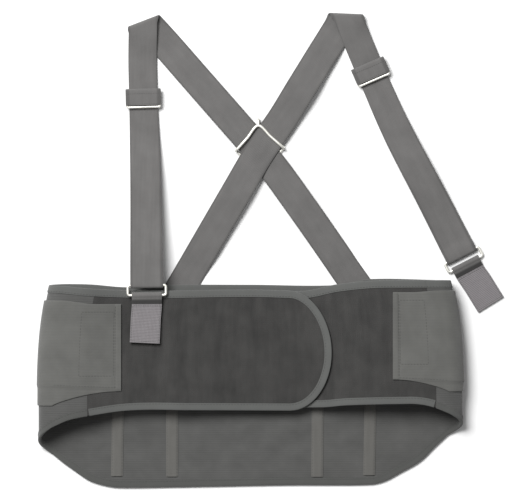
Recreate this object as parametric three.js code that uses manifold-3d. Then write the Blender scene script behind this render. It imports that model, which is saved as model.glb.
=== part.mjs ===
// A back support belt with suspenders, fastened and lying on its back on a flat surface.
// Millimetres. X runs across the belt, Y from its lower edge to its upper edge, Z up.
import * as THREE from "three";
import Module from "manifold-3d";
import { mergeVertices } from "three/addons/utils/BufferGeometryUtils.js";

// The belt lying flat: its width, the height of its back, and the loop's inside height.
const beltWidth = 470;
const backHeight = 227;
const loopHeight = 34;
const foldRadius = 14;
const topNarrowing = 0.055;
const narrowingEnd = 0.65;
const sharedRows = [0.19, 0.4];

// Walls of the cloth pieces.
const panelWall = 1.8;
const frontWall = 2.2;
const cinchWall = 1.6;
const stayWall = 1.3;
const strapWall = 1.4;
const bandWall = 1.2;
const tabWall = 1.4;
const patchWall = 1.2;
const bindingWall = 0.4;

// Widths and lengths of the trim.
const bindingWidth = 7.5;
const stayWidth = 13;
const strapWidth = 34;
const bandAllowance = 5.5;
const bandWidth = strapWidth + bandAllowance;
const tabAllowance = 0.5;
const tabWidth = strapWidth - tabAllowance;
const patchLength = 43.5;
const tabLength = 53.5;
const tabDrift = { left: -0.06, right: 0.08 };

// The suspenders: how far they rise above the belt, and how their shoulder folds turn.
const strapRise = 305;
const shoulderRadius = 3;
const strapPitch = 2.1;
const skewLength = 24;
const stationStep = strapWidth / 2;
const ringApproach = strapWidth * 0.4;

// Metal wire.
const slideWire = 3;
const slideLength = 20.5;
const slideBend = 2;
const crossWire = 3.2;
const crossPost = 7;
const ringWire = 3;
const ringAllowance = 11.5;
const ringWidth = strapWidth + ringAllowance;
const ringHeight = 14;
const ringBend = 2.2;

// Gaps between pieces that touch on the real belt.
const clearance = 0.3;
const bindingGap = 0.3;
const crossGap = 1.2;
const crossSlip = { left: 4.5, right: 3 };

const halfWidth = beltWidth / 2;
const flatReach = halfWidth - foldRadius;
const foldLength = Math.PI * foldRadius;
const bindingStand = bindingGap + bindingWall;
const lift = strapWall + clearance + bindingStand;
const crossover = 2 * bindingStand + clearance;

// Upper edge of the back: across in half widths, down from the belt's top line in back heights.
const backTop = [
  { across: -1.0, down: -0.002 },
  { across: -0.814, down: 0.0 },
  { across: -0.626, down: 0.014 },
  { across: -0.434, down: 0.003 },
  { across: 0.0, down: 0.002 },
  { across: 0.428, down: 0.004 },
  { across: 0.606, down: -0.026 },
  { across: 1.0, down: -0.02 },
];

// Lower edge of the back.
const backBottom = [
  { across: -0.94, down: 0.837 },
  { across: -0.899, down: 0.872 },
  { across: -0.832, down: 0.921 },
  { across: -0.765, down: 0.966 },
  { across: -0.67, down: 0.993 },
  { across: -0.6, down: 0.998 },
  { across: -0.384, down: 0.996 },
  { across: 0.188, down: 0.985 },
  { across: 0.57, down: 0.983 },
  { across: 0.641, down: 0.966 },
  { across: 0.713, down: 0.926 },
  { across: 0.808, down: 0.869 },
  { across: 0.879, down: 0.798 },
  { across: 0.94, down: 0.739 },
];

// Upper and lower edges of the front of the loop, from the left fold to the right fold.
const leftTop = [
  { across: -1.0, down: 0.0 },
  { across: -0.8, down: 0.02 },
  { across: -0.5, down: 0.03 },
  { across: 0.0, down: 0.025 },
  { across: 0.2, down: 0.03 },
  { across: 0.4, down: 0.03 },
];
const leftBottom = [
  { across: -0.94, down: 0.695 },
  { across: -0.862, down: 0.66 },
  { across: -0.764, down: 0.64 },
  { across: -0.618, down: 0.618 },
  { across: -0.484, down: 0.611 },
  { across: -0.291, down: 0.613 },
  { across: 0.214, down: 0.616 },
  { across: 0.4, down: 0.616 },
];
const rightTop = [
  { across: -0.4, down: 0.032 },
  { across: 0.26, down: 0.032 },
  { across: 0.43, down: 0.0 },
  { across: 0.6, down: -0.018 },
  { across: 0.75, down: -0.021 },
  { across: 1.0, down: -0.021 },
];
const rightBottom = [
  { across: -0.4, down: 0.601 },
  { across: 0.334, down: 0.6 },
  { across: 0.454, down: 0.589 },
  { across: 0.573, down: 0.584 },
  { across: 0.716, down: 0.581 },
  { across: 0.788, down: 0.581 },
  { across: 0.86, down: 0.594 },
  { across: 0.94, down: 0.626 },
];

// Inside height of the loop under the front, in loop heights.
const loopTop = [
  { across: -0.94, rise: 0.97 },
  { across: -0.87, rise: 1.0 },
  { across: -0.8, rise: 0.95 },
  { across: -0.72, rise: 0.8 },
  { across: -0.65, rise: 0.67 },
  { across: -0.59, rise: 0.62 },
  { across: -0.51, rise: 0.605 },
  { across: -0.4, rise: 0.59 },
  { across: -0.27, rise: 0.51 },
  { across: -0.1, rise: 0.42 },
  { across: 0.1, rise: 0.39 },
  { across: 0.27, rise: 0.42 },
  { across: 0.36, rise: 0.52 },
  { across: 0.45, rise: 0.7 },
  { across: 0.57, rise: 0.88 },
  { across: 0.713, rise: 0.97 },
  { across: 0.856, rise: 1.0 },
  { across: 0.94, rise: 0.96 },
];

// Where the pieces of the loop begin and end, across in half widths.
const leftSeam = -0.775;
const rightSeam = 0.88;
const leftRound = { start: 0.188, end: 0.386 };
const rightRound = { start: -0.106, end: -0.305 };
const rampStart = -0.47;
const rampEnd = -0.316;
const seamGap = 0.002;
const cinchInner = 0.18;
const cinchStep = 0.06;
const innerMargin = 0.01;

// Outer elastic pulls: edges from the inner end at the back round the fold to the front end.
const cinchLeft = {
  side: -1,
  frontEnd: 0.615,
  backTop: 0.125,
  foldTop: 0.075,
  endTop: 0.093,
  backBottom: 0.56,
  foldBottom: 0.592,
  endBottom: 0.522,
};
const cinchRight = {
  side: 1,
  frontEnd: 0.675,
  backTop: 0.125,
  foldTop: 0.026,
  endTop: 0.034,
  backBottom: 0.5,
  foldBottom: 0.522,
  endBottom: 0.463,
};
const pullBend = { top: 0.6, bottom: 0.3, endTop: 1.6, endCurve: 0.8 };
const lowerMargin = 0.012;
const lowerStep = 0.06;
const leastStep = 0.6;

// Stay channels on the inside of the back: middle of the upper and lower ends.
const stayStart = 0.05;
const stays = [
  { top: -0.625, bottom: -0.637, short: 0.019 },
  { top: -0.375, bottom: -0.374, short: 0.015 },
  { top: 0.325, bottom: 0.318, short: 0.003 },
  { top: 0.58, bottom: 0.566, short: 0.01 },
];

// Routes of the suspenders: across in half widths, up from the belt's top line in strap rises,
// and height, from 0 where the strap lies on the surface to 1 where it crosses the other one.
const rightRoute = {
  back: [
    { across: -0.3635, up: -0.051, height: 0 },
    { across: -0.2911, up: 0.045, height: 0 },
    { across: -0.2044, up: 0.16, height: 1.05 },
    { across: -0.0612, up: 0.35, height: 1.6 },
    { across: 0.0331, up: 0.475, height: 1 },
    { across: 0.089, up: 0.54, height: 1 },
    { across: 0.152, up: 0.61, height: 1.05 },
    { across: 0.2393, up: 0.72, height: 1.75 },
    { across: 0.3309, up: 0.835, height: 1 },
    { across: 0.4185, up: 0.945, height: 0 },
  ],
  shoulder: { across: 0.455, up: 0.998 },
  front: [
    { across: 0.574, up: 0.782 },
    { across: 0.704, up: 0.558 },
    { across: 0.881, up: 0.297 },
    { across: 1.0058, up: 0.1093 },
  ],
};
const leftRoute = {
  back: [
    { across: 0.551, up: -0.051, height: 0 },
    { across: 0.4625, up: 0.045, height: 0 },
    { across: 0.387, up: 0.13, height: 0.6 },
    { across: 0.2415, up: 0.29, height: 1.25 },
    { across: 0.1087, up: 0.431, height: 1 },
    { across: 0.0177, up: 0.514, height: 1 },
    { across: -0.0448, up: 0.569, height: 1 },
    { across: -0.1233, up: 0.638, height: 0.9 },
    { across: -0.2836, up: 0.779, height: 0.6 },
    { across: -0.4188, up: 0.898, height: 0 },
  ],
  shoulder: { across: -0.51, up: 0.972 },
  front: [
    { across: -0.515, up: 0.83 },
    { across: -0.511, up: 0.687 },
    { across: -0.5, up: 0.4 },
    { across: -0.4925, up: -0.0005 },
  ],
};
const slideUp = { left: 0.687, right: 0.782 };

// The front runs: how they settle past the fold, arch up, and climb to their rings.
const settleLength = 40;
const archStart = 100;
const frontArch = 5;
const ringHold = 4;
const leftClimbing = { climb: 170, arch: 60 };
const rightClimbing = { climb: 16, arch: 20 };

// How finely the shapes are cut.
const frontCells = 30;
const foldCells = 9;
const wireSides = 6;
const cornerSteps = 4;
const turnSteps = 8;
const crossSteps = 48;
const postSteps = 16;
const fineStep = 2;
const leastCell = 2;
const endRoom = 8;
const rowMargin = 0.2;
const roundTurns = [0, 18, 36, 52, 66, 77, 86];
const backColumns = [1, 0.965, 0.93, 0.89, 0.845, 0.79, 0.73, 0.67, 0.6, 0.5, 0.38, 0.26];
const pullColumns = [0.4, 0.65, 0.85, 0.95, 1];

// Where the back's upper tape is cut into lengths, as shares of the back's flat reach.
const tapeCuts = { left: 0.965, right: 0.5 };

// Heights at the crossing, from the surface up: wire, left strap, right strap, wire.
const crossUnder = crossWire / 2 + clearance / 2;
const leftCross = crossUnder + crossWire / 2 + clearance + strapWall / 2;
const rightCross = leftCross + strapWall + clearance;
const crossOver = rightCross + strapWall / 2 + clearance + crossWire / 2;

const wasm = await Module();
wasm.setup();

const soft = (t) => t * t * (3 - 2 * t);
const share = (value, from, to) => THREE.MathUtils.clamp((value - from) / (to - from), 0, 1);
const mix = THREE.MathUtils.lerp;
const down = (part) => -part * backHeight;

// Smooth value of a table's column at a place across.
function along(table, across, column) {
  const last = table.length - 1;
  let k = 0;
  while (k < last - 1 && across > table[k + 1].across) k += 1;
  const a = table[k];
  const b = table[k + 1];
  const before = table[Math.max(k - 1, 0)];
  const after = table[Math.min(k + 2, last)];
  const span = b.across - a.across;
  const t = THREE.MathUtils.clamp((across - a.across) / span, 0, 1);
  const slopeA = ((b[column] - before[column]) / (b.across - before.across)) * span;
  const slopeB = ((after[column] - a[column]) / (after.across - a.across)) * span;
  const t2 = t * t;
  const t3 = t2 * t;
  return (2 * t3 - 3 * t2 + 1) * a[column] + (t3 - 2 * t2 + t) * slopeA
    + (3 * t2 - 2 * t3) * b[column] + (t3 - t2) * slopeB;
}

// Places across at which every piece on the front of the loop has a row of corners.
const frontStations = Array.from({ length: frontCells + 1 }, (_, k) => {
  return mix(-flatReach, flatReach, k / frontCells);
});
const frontHeights = frontStations.map((x) => loopHeight * along(loopTop, x / halfWidth, "rise"));

// Inside height of the front at a place across, straight between the stations.
function frontHeight(x) {
  const spot = share(x, -flatReach, flatReach) * frontCells;
  const k = Math.min(Math.floor(spot), frontCells - 1);
  return mix(frontHeights[k], frontHeights[k + 1], spot - k);
}

// The belt narrows towards its top line, in straight stretches between the shared rows.
const narrowDowns = [0, ...sharedRows, narrowingEnd];
const narrowShares = narrowDowns.map((part) => 1 - topNarrowing * (1 - part / narrowingEnd) ** 3);
function narrowing(y) {
  const part = -y / backHeight;
  if (part > narrowingEnd) return 1;
  let k = 0;
  while (k < narrowDowns.length - 2 && part > narrowDowns[k + 1]) k += 1;
  const t = (part - narrowDowns[k]) / (narrowDowns[k + 1] - narrowDowns[k]);
  return mix(narrowShares[k], narrowShares[k + 1], t);
}

// How far down the back is lifted by the pull beneath it.
function liftedDown(q) {
  return (q < 0 ? cinchLeft.foldBottom : cinchRight.foldBottom) + lowerMargin;
}

// The lift fades towards the middle of the back inside the pulls' inner ends.
const liftInner = (cinchInner - innerMargin) * halfWidth;
const liftStart = liftInner - cinchStep * halfWidth;

// Height of the back's inner face above the surface.
function floorHeight(q, y) {
  const sideways = share(Math.abs(q), liftStart, liftInner);
  const lowEdge = liftedDown(q);
  const downwards = 1 - share(-y / backHeight, lowEdge, lowEdge + lowerStep);
  return panelWall + mix(bindingStand, lift, sideways * downwards);
}

// A point of the loop: q runs round it from the middle of the back, d is outwards.
function loopPoint(q, y, d) {
  const side = Math.sign(q) || 1;
  const reach = Math.abs(q);
  const narrow = narrowing(y);
  if (reach <= flatReach) {
    return new THREE.Vector3(narrow * q, y, floorHeight(q, y) - d);
  }
  if (reach < flatReach + foldLength) {
    const turn = (Math.PI * (reach - flatReach)) / foldLength;
    const low = floorHeight(q, y);
    const high = frontHeight(side * flatReach);
    const x = narrow * flatReach + (foldRadius + d) * Math.sin(turn);
    const z = (low + high) / 2 - ((high - low) / 2 + d) * Math.cos(turn);
    return new THREE.Vector3(side * x, y, z);
  }
  const x = side * (flatReach - (reach - flatReach - foldLength));
  return new THREE.Vector3(narrow * x, y, frontHeight(x) + d);
}

// The loop coordinate of a place across on the front, reached round the left or right fold.
const frontQ = (side, x) => side * (flatReach + foldLength + flatReach - side * x);

// Turns a triangle list over where its volume is negative, and returns its geometry.
function closedGeometry(points, triangles) {
  let volume = 0;
  for (const [a, b, c] of triangles) {
    volume += points[a].dot(new THREE.Vector3().crossVectors(points[b], points[c]));
  }
  const ordered = volume < 0 ? triangles.map(([a, b, c]) => [a, c, b]) : triangles;
  const geometry = new THREE.BufferGeometry();
  geometry.setAttribute("position", new THREE.Float32BufferAttribute(
    points.flatMap((p) => [p.x, p.y, p.z]), 3));
  geometry.setIndex(ordered.flat());
  return geometry;
}

// A closed wall between two grids of points.
function wallBetween(under, over) {
  const rows = under.length;
  const columns = under[0].length;
  const end = columns - 1;
  const points = [...under.flat(), ...over.flat()];
  const low = (i, j) => i * columns + j;
  const high = (i, j) => rows * columns + low(i, j);
  const triangles = [];
  const quad = (a, b, c, d) => triangles.push([a, b, c], [a, c, d]);
  for (let i = 0; i < rows - 1; i += 1) {
    for (let j = 0; j < columns - 1; j += 1) {
      quad(high(i, j), high(i + 1, j), high(i + 1, j + 1), high(i, j + 1));
      quad(low(i, j), low(i, j + 1), low(i + 1, j + 1), low(i + 1, j));
    }
    quad(low(i, 0), low(i + 1, 0), high(i + 1, 0), high(i, 0));
    quad(low(i, end), high(i, end), high(i + 1, end), low(i + 1, end));
  }
  for (let j = 0; j < columns - 1; j += 1) {
    quad(low(0, j), high(0, j), high(0, j + 1), low(0, j + 1));
    quad(low(rows - 1, j), low(rows - 1, j + 1), high(rows - 1, j + 1), high(rows - 1, j));
  }
  return closedGeometry(points, triangles);
}

// A wall of even thickness about a grid of middle points.
function wallAbout(grid, wall) {
  const rows = grid.length;
  const columns = grid[0].length;
  const shifted = (sign) => grid.map((row, i) => row.map((point, j) => {
    const next = grid[Math.min(i + 1, rows - 1)][j];
    const last = grid[Math.max(i - 1, 0)][j];
    const right = grid[i][Math.min(j + 1, columns - 1)];
    const left = grid[i][Math.max(j - 1, 0)];
    const lengthwise = new THREE.Vector3().subVectors(next, last);
    const crosswise = new THREE.Vector3().subVectors(right, left);
    const normal = new THREE.Vector3().crossVectors(crosswise, lengthwise).normalize();
    return point.clone().addScaledVector(normal, (sign * wall) / 2);
  }));
  return wallBetween(shifted(-1), shifted(1));
}

// A strip through stations that each hold a middle point and half of the strip's width.
function strip(stations, wall) {
  const grid = stations.map(({ middle, half }) => [
    middle.clone().sub(half),
    middle.clone().add(half),
  ]);
  return wallAbout(grid, wall);
}

// A body through equal loops of points, with flat ends of the given outline.
function loft(loops, outline) {
  const size = loops[0].length;
  const points = loops.flat();
  const triangles = [];
  for (let i = 0; i < loops.length - 1; i += 1) {
    for (let j = 0; j < size; j += 1) {
      const a = i * size + j;
      const b = i * size + ((j + 1) % size);
      triangles.push([a, b, b + size], [a, b + size, a + size]);
    }
  }
  const last = (loops.length - 1) * size;
  const wind = THREE.ShapeUtils.isClockWise(outline) ? -1 : 1;
  for (const [a, b, c] of THREE.ShapeUtils.triangulateShape(outline, [])) {
    const [p, r] = wind > 0 ? [b, c] : [c, b];
    triangles.push([a, r, p], [last + a, last + p, last + r]);
  }
  return closedGeometry(points, triangles);
}

// A round wire along a path, closed on itself or with flat ends.
function wire(path, diameter, up, closed) {
  const count = path.length;
  const outline = Array.from({ length: wireSides }, (_, k) => {
    const turn = (2 * Math.PI * k) / wireSides;
    return new THREE.Vector2(Math.cos(turn), Math.sin(turn)).multiplyScalar(diameter / 2);
  });
  const loops = path.map((point, i) => {
    const next = closed ? path[(i + 1) % count] : path[Math.min(i + 1, count - 1)];
    const last = closed ? path[(i + count - 1) % count] : path[Math.max(i - 1, 0)];
    const ahead = new THREE.Vector3().subVectors(next, last).normalize();
    const aside = new THREE.Vector3().crossVectors(ahead, up).normalize();
    const over = new THREE.Vector3().crossVectors(aside, ahead);
    return outline.map(({ x, y }) => {
      return point.clone().addScaledVector(aside, x).addScaledVector(over, y);
    });
  });
  if (!closed) return loft(loops, outline);
  const triangles = [];
  for (let i = 0; i < count; i += 1) {
    for (let j = 0; j < wireSides; j += 1) {
      const a = i * wireSides + j;
      const b = i * wireSides + ((j + 1) % wireSides);
      const c = ((i + 1) % count) * wireSides + ((j + 1) % wireSides);
      const d = ((i + 1) % count) * wireSides + j;
      triangles.push([a, b, c], [a, c, d]);
    }
  }
  return closedGeometry(loops.flat(), triangles);
}

// Joins two closed geometries that overlap.
function joined(first, second) {
  const solid = (geometry) => {
    const merged = mergeVertices(geometry);
    return new wasm.Manifold(new wasm.Mesh({
      numProp: 3,
      vertProperties: new Float32Array(merged.attributes.position.array),
      triVerts: new Uint32Array(merged.index.array),
    }));
  };
  const result = solid(first).add(solid(second)).getMesh();
  const geometry = new THREE.BufferGeometry();
  geometry.setAttribute("position", new THREE.BufferAttribute(result.vertProperties, 3));
  geometry.setIndex(new THREE.BufferAttribute(result.triVerts, 1));
  return geometry;
}

const group = new THREE.Group();
const finishes = {
  elastic: { color: 0x6a6a67, roughness: 0.9, metalness: 0 },
  ribbed: { color: 0x585857, roughness: 0.92, metalness: 0 },
  brushed: { color: 0x434241, roughness: 0.98, metalness: 0 },
  tape: { color: 0x646563, roughness: 0.85, metalness: 0 },
  webbing: { color: 0x706e6c, roughness: 0.8, metalness: 0 },
  hooks: { color: 0x868384, roughness: 0.7, metalness: 0 },
  metal: { color: 0xc8c8be, roughness: 0.3, metalness: 0.9 },
};

function place(name, geometry, finish) {
  const mesh = new THREE.Mesh(geometry, new THREE.MeshStandardMaterial(finishes[finish]));
  mesh.name = name;
  group.add(mesh);
}

// Edges of the body at a loop coordinate: on the back, round a fold, or on the front.
function bodyEdges(q) {
  const side = Math.sign(q) || 1;
  const reach = Math.abs(q);
  const top = side < 0 ? leftTop : rightTop;
  const bottom = side < 0 ? leftBottom : rightBottom;
  if (reach <= flatReach) {
    const across = q / halfWidth;
    return [along(backTop, across, "down"), along(backBottom, across, "down")];
  }
  const foldAcross = (side * flatReach) / halfWidth;
  if (reach < flatReach + foldLength) {
    const turn = (reach - flatReach) / foldLength;
    return [
      mix(along(backTop, foldAcross, "down"), along(top, foldAcross, "down"), turn),
      mix(along(backBottom, foldAcross, "down"), along(bottom, foldAcross, "down"), turn),
    ];
  }
  const across = (side * (flatReach - (reach - flatReach - foldLength))) / halfWidth;
  return [along(top, across, "down"), along(bottom, across, "down")];
}

// Loop coordinates of the body's columns, from the left front seam round to the right one.
function bodyColumns() {
  const folded = Array.from({ length: foldCells - 1 }, (_, k) => {
    return flatReach + (foldLength * (k + 1)) / foldCells;
  });
  const flat = backColumns.map((part) => part * flatReach);
  const half = [...folded, ...flat, liftInner, liftStart];
  const onFront = (side, seam) => {
    const beyond = frontStations.filter((x) => side * (x - seam * halfWidth) > leastCell);
    return [seam * halfWidth, ...beyond].map((x) => frontQ(side, x));
  };
  const mirrored = half.map((q) => -q);
  const columns = [...onFront(-1, leftSeam), ...mirrored, 0, ...half, ...onFront(1, rightSeam)];
  return columns.sort((a, b) => a - b);
}

const columnsOfBody = bodyColumns();

// The body's rows follow its edges and the step below the pulls.
function bodyRows(q) {
  const [top, bottom] = bodyEdges(q);
  const step = liftedDown(q);
  const stepEnd = Math.min(step + lowerStep, mix(step, bottom, leastStep));
  return [top, ...sharedRows, step, stepEnd, (stepEnd + bottom) / 2, bottom].map(down);
}

function addBody() {
  const grid = (d) => columnsOfBody.map((q) => bodyRows(q).map((y) => loopPoint(q, y, d)));
  place("back_panel", wallBetween(grid(0), grid(panelWall)), "ribbed");
}

// Tape folded over an edge: a C section carried along a path of loop coordinates.
function binding(path, inner, outer) {
  const low = (k) => inner(k) - bindingGap;
  const high = (k) => outer(k) + bindingGap;
  const section = (k) => [
    [bindingWidth, high(k) + bindingWall],
    [-bindingGap - bindingWall, high(k) + bindingWall],
    [-bindingGap - bindingWall, low(k) - bindingWall],
    [bindingWidth, low(k) - bindingWall],
    [bindingWidth, low(k)],
    [-bindingGap, low(k)],
    [-bindingGap, high(k)],
    [bindingWidth, high(k)],
  ];
  const loops = path.map(({ q, y, inward }, k) => section(k).map(([u, d]) => {
    return loopPoint(q + inward.x * u, y + inward.y * u, d);
  }));
  return loft(loops, section(0).map(([u, d]) => new THREE.Vector2(u, d)));
}

// Stations along one edge of the body; the tape's width runs square to the edge where it is flat.
function bodyEdgePath(isTop) {
  const edge = columnsOfBody.map((q) => ({ q, y: bodyRows(q).at(isTop ? 0 : -1) }));
  return edge.map(({ q, y }, k) => {
    const next = edge[Math.min(k + 1, edge.length - 1)];
    const last = edge[Math.max(k - 1, 0)];
    const square = new THREE.Vector2(-(next.y - last.y), next.q - last.q).normalize();
    const flat = Math.abs(q) < flatReach - bindingWidth;
    const inward = flat ? square : new THREE.Vector2(0, 1);
    return { q, y, inward: inward.multiplyScalar(isTop ? -1 : 1) };
  });
}

function addBodyBindings() {
  const inner = () => 0;
  const outer = () => panelWall;
  const upper = bodyEdgePath(true);
  const cuts = [-Infinity, -tapeCuts.left * flatReach, tapeCuts.right * flatReach, Infinity];
  ["left", "middle", "right"].forEach((name, k) => {
    const from = cuts[k];
    const to = cuts[k + 1];
    const path = upper.filter(({ q }) => q >= from && q <= to).map((station) => {
      const q = THREE.MathUtils.clamp(station.q, from + clearance / 2, to - clearance / 2);
      return { ...station, q };
    });
    place(`back_binding_top_${name}`, binding(path, inner, outer), "tape");
  });
  place("back_binding_bottom", binding(bodyEdgePath(false), inner, outer), "tape");
}

function addStays() {
  stays.forEach(({ top, bottom, short }, k) => {
    const middle = ((top + bottom) / 2) * halfWidth;
    const step = liftedDown(middle);
    const tape = (bindingWidth + clearance) / backHeight;
    const end = along(backBottom, bottom, "down") - tape - short;
    const rows = [stayStart, ...sharedRows, step, step + lowerStep, end];
    const grid = (d) => rows.map((part) => {
      const q = mix(top, bottom, share(part, stayStart, end)) * halfWidth;
      return [q - stayWidth / 2, q + stayWidth / 2].map((edge) => loopPoint(edge, down(part), d));
    });
    place(`stay_${k + 1}`, wallBetween(grid(-clearance), grid(-clearance - stayWall)), "tape");
  });
}

// Columns of a front panel: its seam, the shared stations, and the round end.
function frontColumns(seam, round, top, bottom) {
  const seamX = seam * halfWidth;
  const startX = round.start * halfWidth;
  const endX = round.end * halfWidth;
  const towards = Math.sign(endX - seamX);
  const between = frontStations.filter((x) => {
    return (x - seamX) * towards > leastCell && (startX - x) * towards > leastCell;
  });
  if (towards < 0) between.reverse();
  const columns = [seamX, ...between].map((x) => ({
    x,
    top: along(top, x / halfWidth, "down"),
    bottom: along(bottom, x / halfWidth, "down"),
  }));
  const middle = (along(top, round.start, "down") + along(bottom, round.start, "down")) / 2;
  const half = along(bottom, round.start, "down") - middle;
  roundTurns.forEach((degrees) => {
    const turn = THREE.MathUtils.degToRad(degrees);
    const x = mix(startX, endX, Math.sin(turn));
    const spread = half * Math.cos(turn);
    columns.push({ x, top: middle - spread, bottom: middle + spread });
  });
  return columns;
}

// The left panel climbs over the right one.
const overRight = frontWall + crossover;
const leftClimb = (x) => overRight * soft(share(x, rampStart * halfWidth, rampEnd * halfWidth));
const leftOver = (x) => {
  const spot = share(x, -flatReach, flatReach) * frontCells;
  const k = Math.min(Math.floor(spot), frontCells - 1);
  return mix(leftClimb(frontStations[k]), leftClimb(frontStations[k + 1]), spot - k);
};

// A front panel with the tape round its long edges and its round end.
function addFront(name, side, columns, climb) {
  const lateral = (x) => frontQ(side, x);
  const grid = (wall) => columns.map(({ x, top, bottom }) => {
    const highest = mix(top, bottom, rowMargin);
    const lowest = mix(bottom, top, rowMargin);
    const middles = sharedRows.map((part) => THREE.MathUtils.clamp(part, highest, lowest));
    return [top, ...middles, bottom].map((part) => {
      return loopPoint(lateral(x), down(part), climb(x) + wall);
    });
  });
  place(`front_panel_${name}`, wallBetween(grid(0), grid(frontWall)), "brushed");
  const edge = [
    ...columns.map(({ x, top }) => ({ x, y: down(top) })),
    ...[...columns].reverse().map(({ x, bottom }) => ({ x, y: down(bottom) })),
  ];
  const path = edge.map(({ x, y }, k) => {
    const next = edge[Math.min(k + 1, edge.length - 1)];
    const last = edge[Math.max(k - 1, 0)];
    const turn = new THREE.Vector2(next.y - last.y, -(next.x - last.x)).normalize();
    const rounded = Math.abs(k - (edge.length - 1) / 2) < roundTurns.length;
    const straight = new THREE.Vector2(0, k < edge.length / 2 ? -1 : 1);
    const inward = rounded ? turn.multiplyScalar(-side) : straight;
    inward.x *= -1;
    return { q: lateral(x), y, inward };
  });
  const height = (k) => climb(edge[k].x);
  const tape = binding(path, height, (k) => height(k) + frontWall);
  place(`front_binding_${name}`, tape, "tape");
}

// The outer pull: from its inner end at the back, round the fold, to its upright front end.
function addCinch(name, pull) {
  const { side } = pull;
  const endX = side * pull.frontEnd * halfWidth;
  const innerEnd = (cinchInner * halfWidth) / flatReach;
  const flat = [innerEnd, ...pullColumns].map((part) => ({ q: side * part * flatReach, part }));
  const folded = Array.from({ length: foldCells }, (_, k) => {
    return { q: side * (flatReach + (foldLength * (k + 1)) / foldCells), part: 1 };
  });
  const stations = frontStations.filter((x) => {
    return side * x < flatReach - leastCell && side * (x - endX) > endRoom;
  });
  if (side > 0) stations.reverse();
  const front = stations.map((x) => {
    return { q: frontQ(side, x), part: 1 + share(side * x, flatReach, side * endX) };
  });
  const columns = [...flat, ...folded, ...front];
  const edges = (part) => {
    if (part <= 1) {
      return [
        mix(pull.backTop, pull.foldTop, soft(share(part, pullBend.top, 1))),
        mix(pull.backBottom, pull.foldBottom, soft(share(part, pullBend.bottom, 1))),
      ];
    }
    const curve = Math.sin(((part - 1) * Math.PI) / 2) ** pullBend.endCurve;
    return [
      mix(pull.foldTop, pull.endTop, soft(share(part, 1, pullBend.endTop))),
      mix(pull.foldBottom, pull.endBottom, curve),
    ];
  };
  const rowsAt = (part) => {
    const [top, bottom] = edges(part);
    return [top, ...sharedRows, bottom].map(down);
  };
  const under = panelWall + lift - cinchWall;
  const grid = (d) => {
    const rest = columns.map(({ q, part }) => rowsAt(part).map((y) => loopPoint(q, y, d)));
    const last = rowsAt(2).map((y) => loopPoint(frontQ(side, endX / narrowing(y)), y, d));
    return [...rest, last];
  };
  place(`cinch_panel_${name}`, wallBetween(grid(under), grid(under + cinchWall)), "elastic");
}

// A plan point of a suspender's route.
const plan = ({ across, up }) => new THREE.Vector2(across * halfWidth, up * strapRise);
const quarter = (v) => new THREE.Vector2(-v.y, v.x);
const raised = (v, z) => new THREE.Vector3(v.x, v.y, z);

// Evenly spaced plan stations on a smooth curve through a route's points.
function planStations(points, spacing) {
  const knots = points.map((p) => raised(p, 0));
  const curve = new THREE.CatmullRomCurve3(knots, false, "centripetal");
  const count = Math.round(curve.getLength() / spacing);
  return Array.from({ length: count + 1 }, (_, k) => {
    const spot = curve.getPointAt(k / count);
    const tangent = curve.getTangentAt(k / count);
    return {
      middle: new THREE.Vector2(spot.x, spot.y),
      ahead: new THREE.Vector2(tangent.x, tangent.y).normalize(),
      run: (k / count) * curve.getLength(),
    };
  });
}

// Height of the webbing's middle along the back run.
function backHeightAt(route, middle) {
  const up = middle.y / strapRise;
  const { back } = route;
  let k = 0;
  while (k < back.length - 2 && up > back[k + 1].up) k += 1;
  const t = soft(share(up, back[k].up, back[k + 1].up));
  const crossing = route === rightRoute ? rightCross : leftCross;
  return mix(strapWall / 2, crossing, mix(back[k].height, back[k + 1].height, t));
}

// A ribbon's fold over a slanting line: it wraps half a cylinder whose axis lies along the fold.
function foldOf(route) {
  const spot = plan(route.shoulder);
  const before = plan(route.back[route.back.length - 1]);
  const after = plan(route.front[0]);
  const arriving = new THREE.Vector2().subVectors(spot, before).normalize();
  const leaving = new THREE.Vector2().subVectors(after, spot).normalize();
  const axis = new THREE.Vector2().addVectors(arriving, leaving).normalize();
  const outward = arriving.clone().addScaledVector(axis, -arriving.dot(axis)).normalize();
  const drift = (arriving.dot(axis) / arriving.dot(outward)) * shoulderRadius;
  const ruling = axis.clone().multiplyScalar(strapWidth / 2 / axis.dot(quarter(arriving)));
  const start = spot.clone()
    .addScaledVector(outward, -shoulderRadius - strapWall / 2)
    .addScaledVector(axis, (-drift * Math.PI) / 2);
  const end = start.clone().addScaledVector(axis, drift * Math.PI);
  return { arriving, leaving, axis, outward, drift, ruling, start, end };
}

// Half of the strap's width at a station, turned towards the fold's line when close to it.
function halfAt(ahead, ruling, nearness, sign) {
  const square = quarter(ahead).multiplyScalar((sign * strapWidth) / 2);
  const slant = ruling.dot(ahead) * soft(nearness);
  return square.addScaledVector(ahead, slant);
}

// The ring's upper bar at the end of a strap's front run, with the run's direction there.
function ringSpot(route, barHeight) {
  const last = plan(route.front[route.front.length - 1]);
  const before = plan(route.front[route.front.length - 2]);
  const ahead = new THREE.Vector2().subVectors(last, before).normalize();
  return { bar: last, ahead, barHeight };
}

// The back run of a suspender, from the belt over the crossing to the fold at the shoulder.
function backStations(route, fold) {
  const run = planStations([...route.back.map(plan), fold.start], stationStep);
  const total = run.at(-1).run;
  return run.map((station, k) => {
    const nearness = share(station.run, total - skewLength, total);
    const height = k < run.length - 1 ? backHeightAt(route, station.middle) : strapWall / 2;
    return {
      middle: raised(station.middle, height),
      half: raised(halfAt(station.ahead, fold.ruling, nearness, 1), 0),
    };
  });
}

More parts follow.
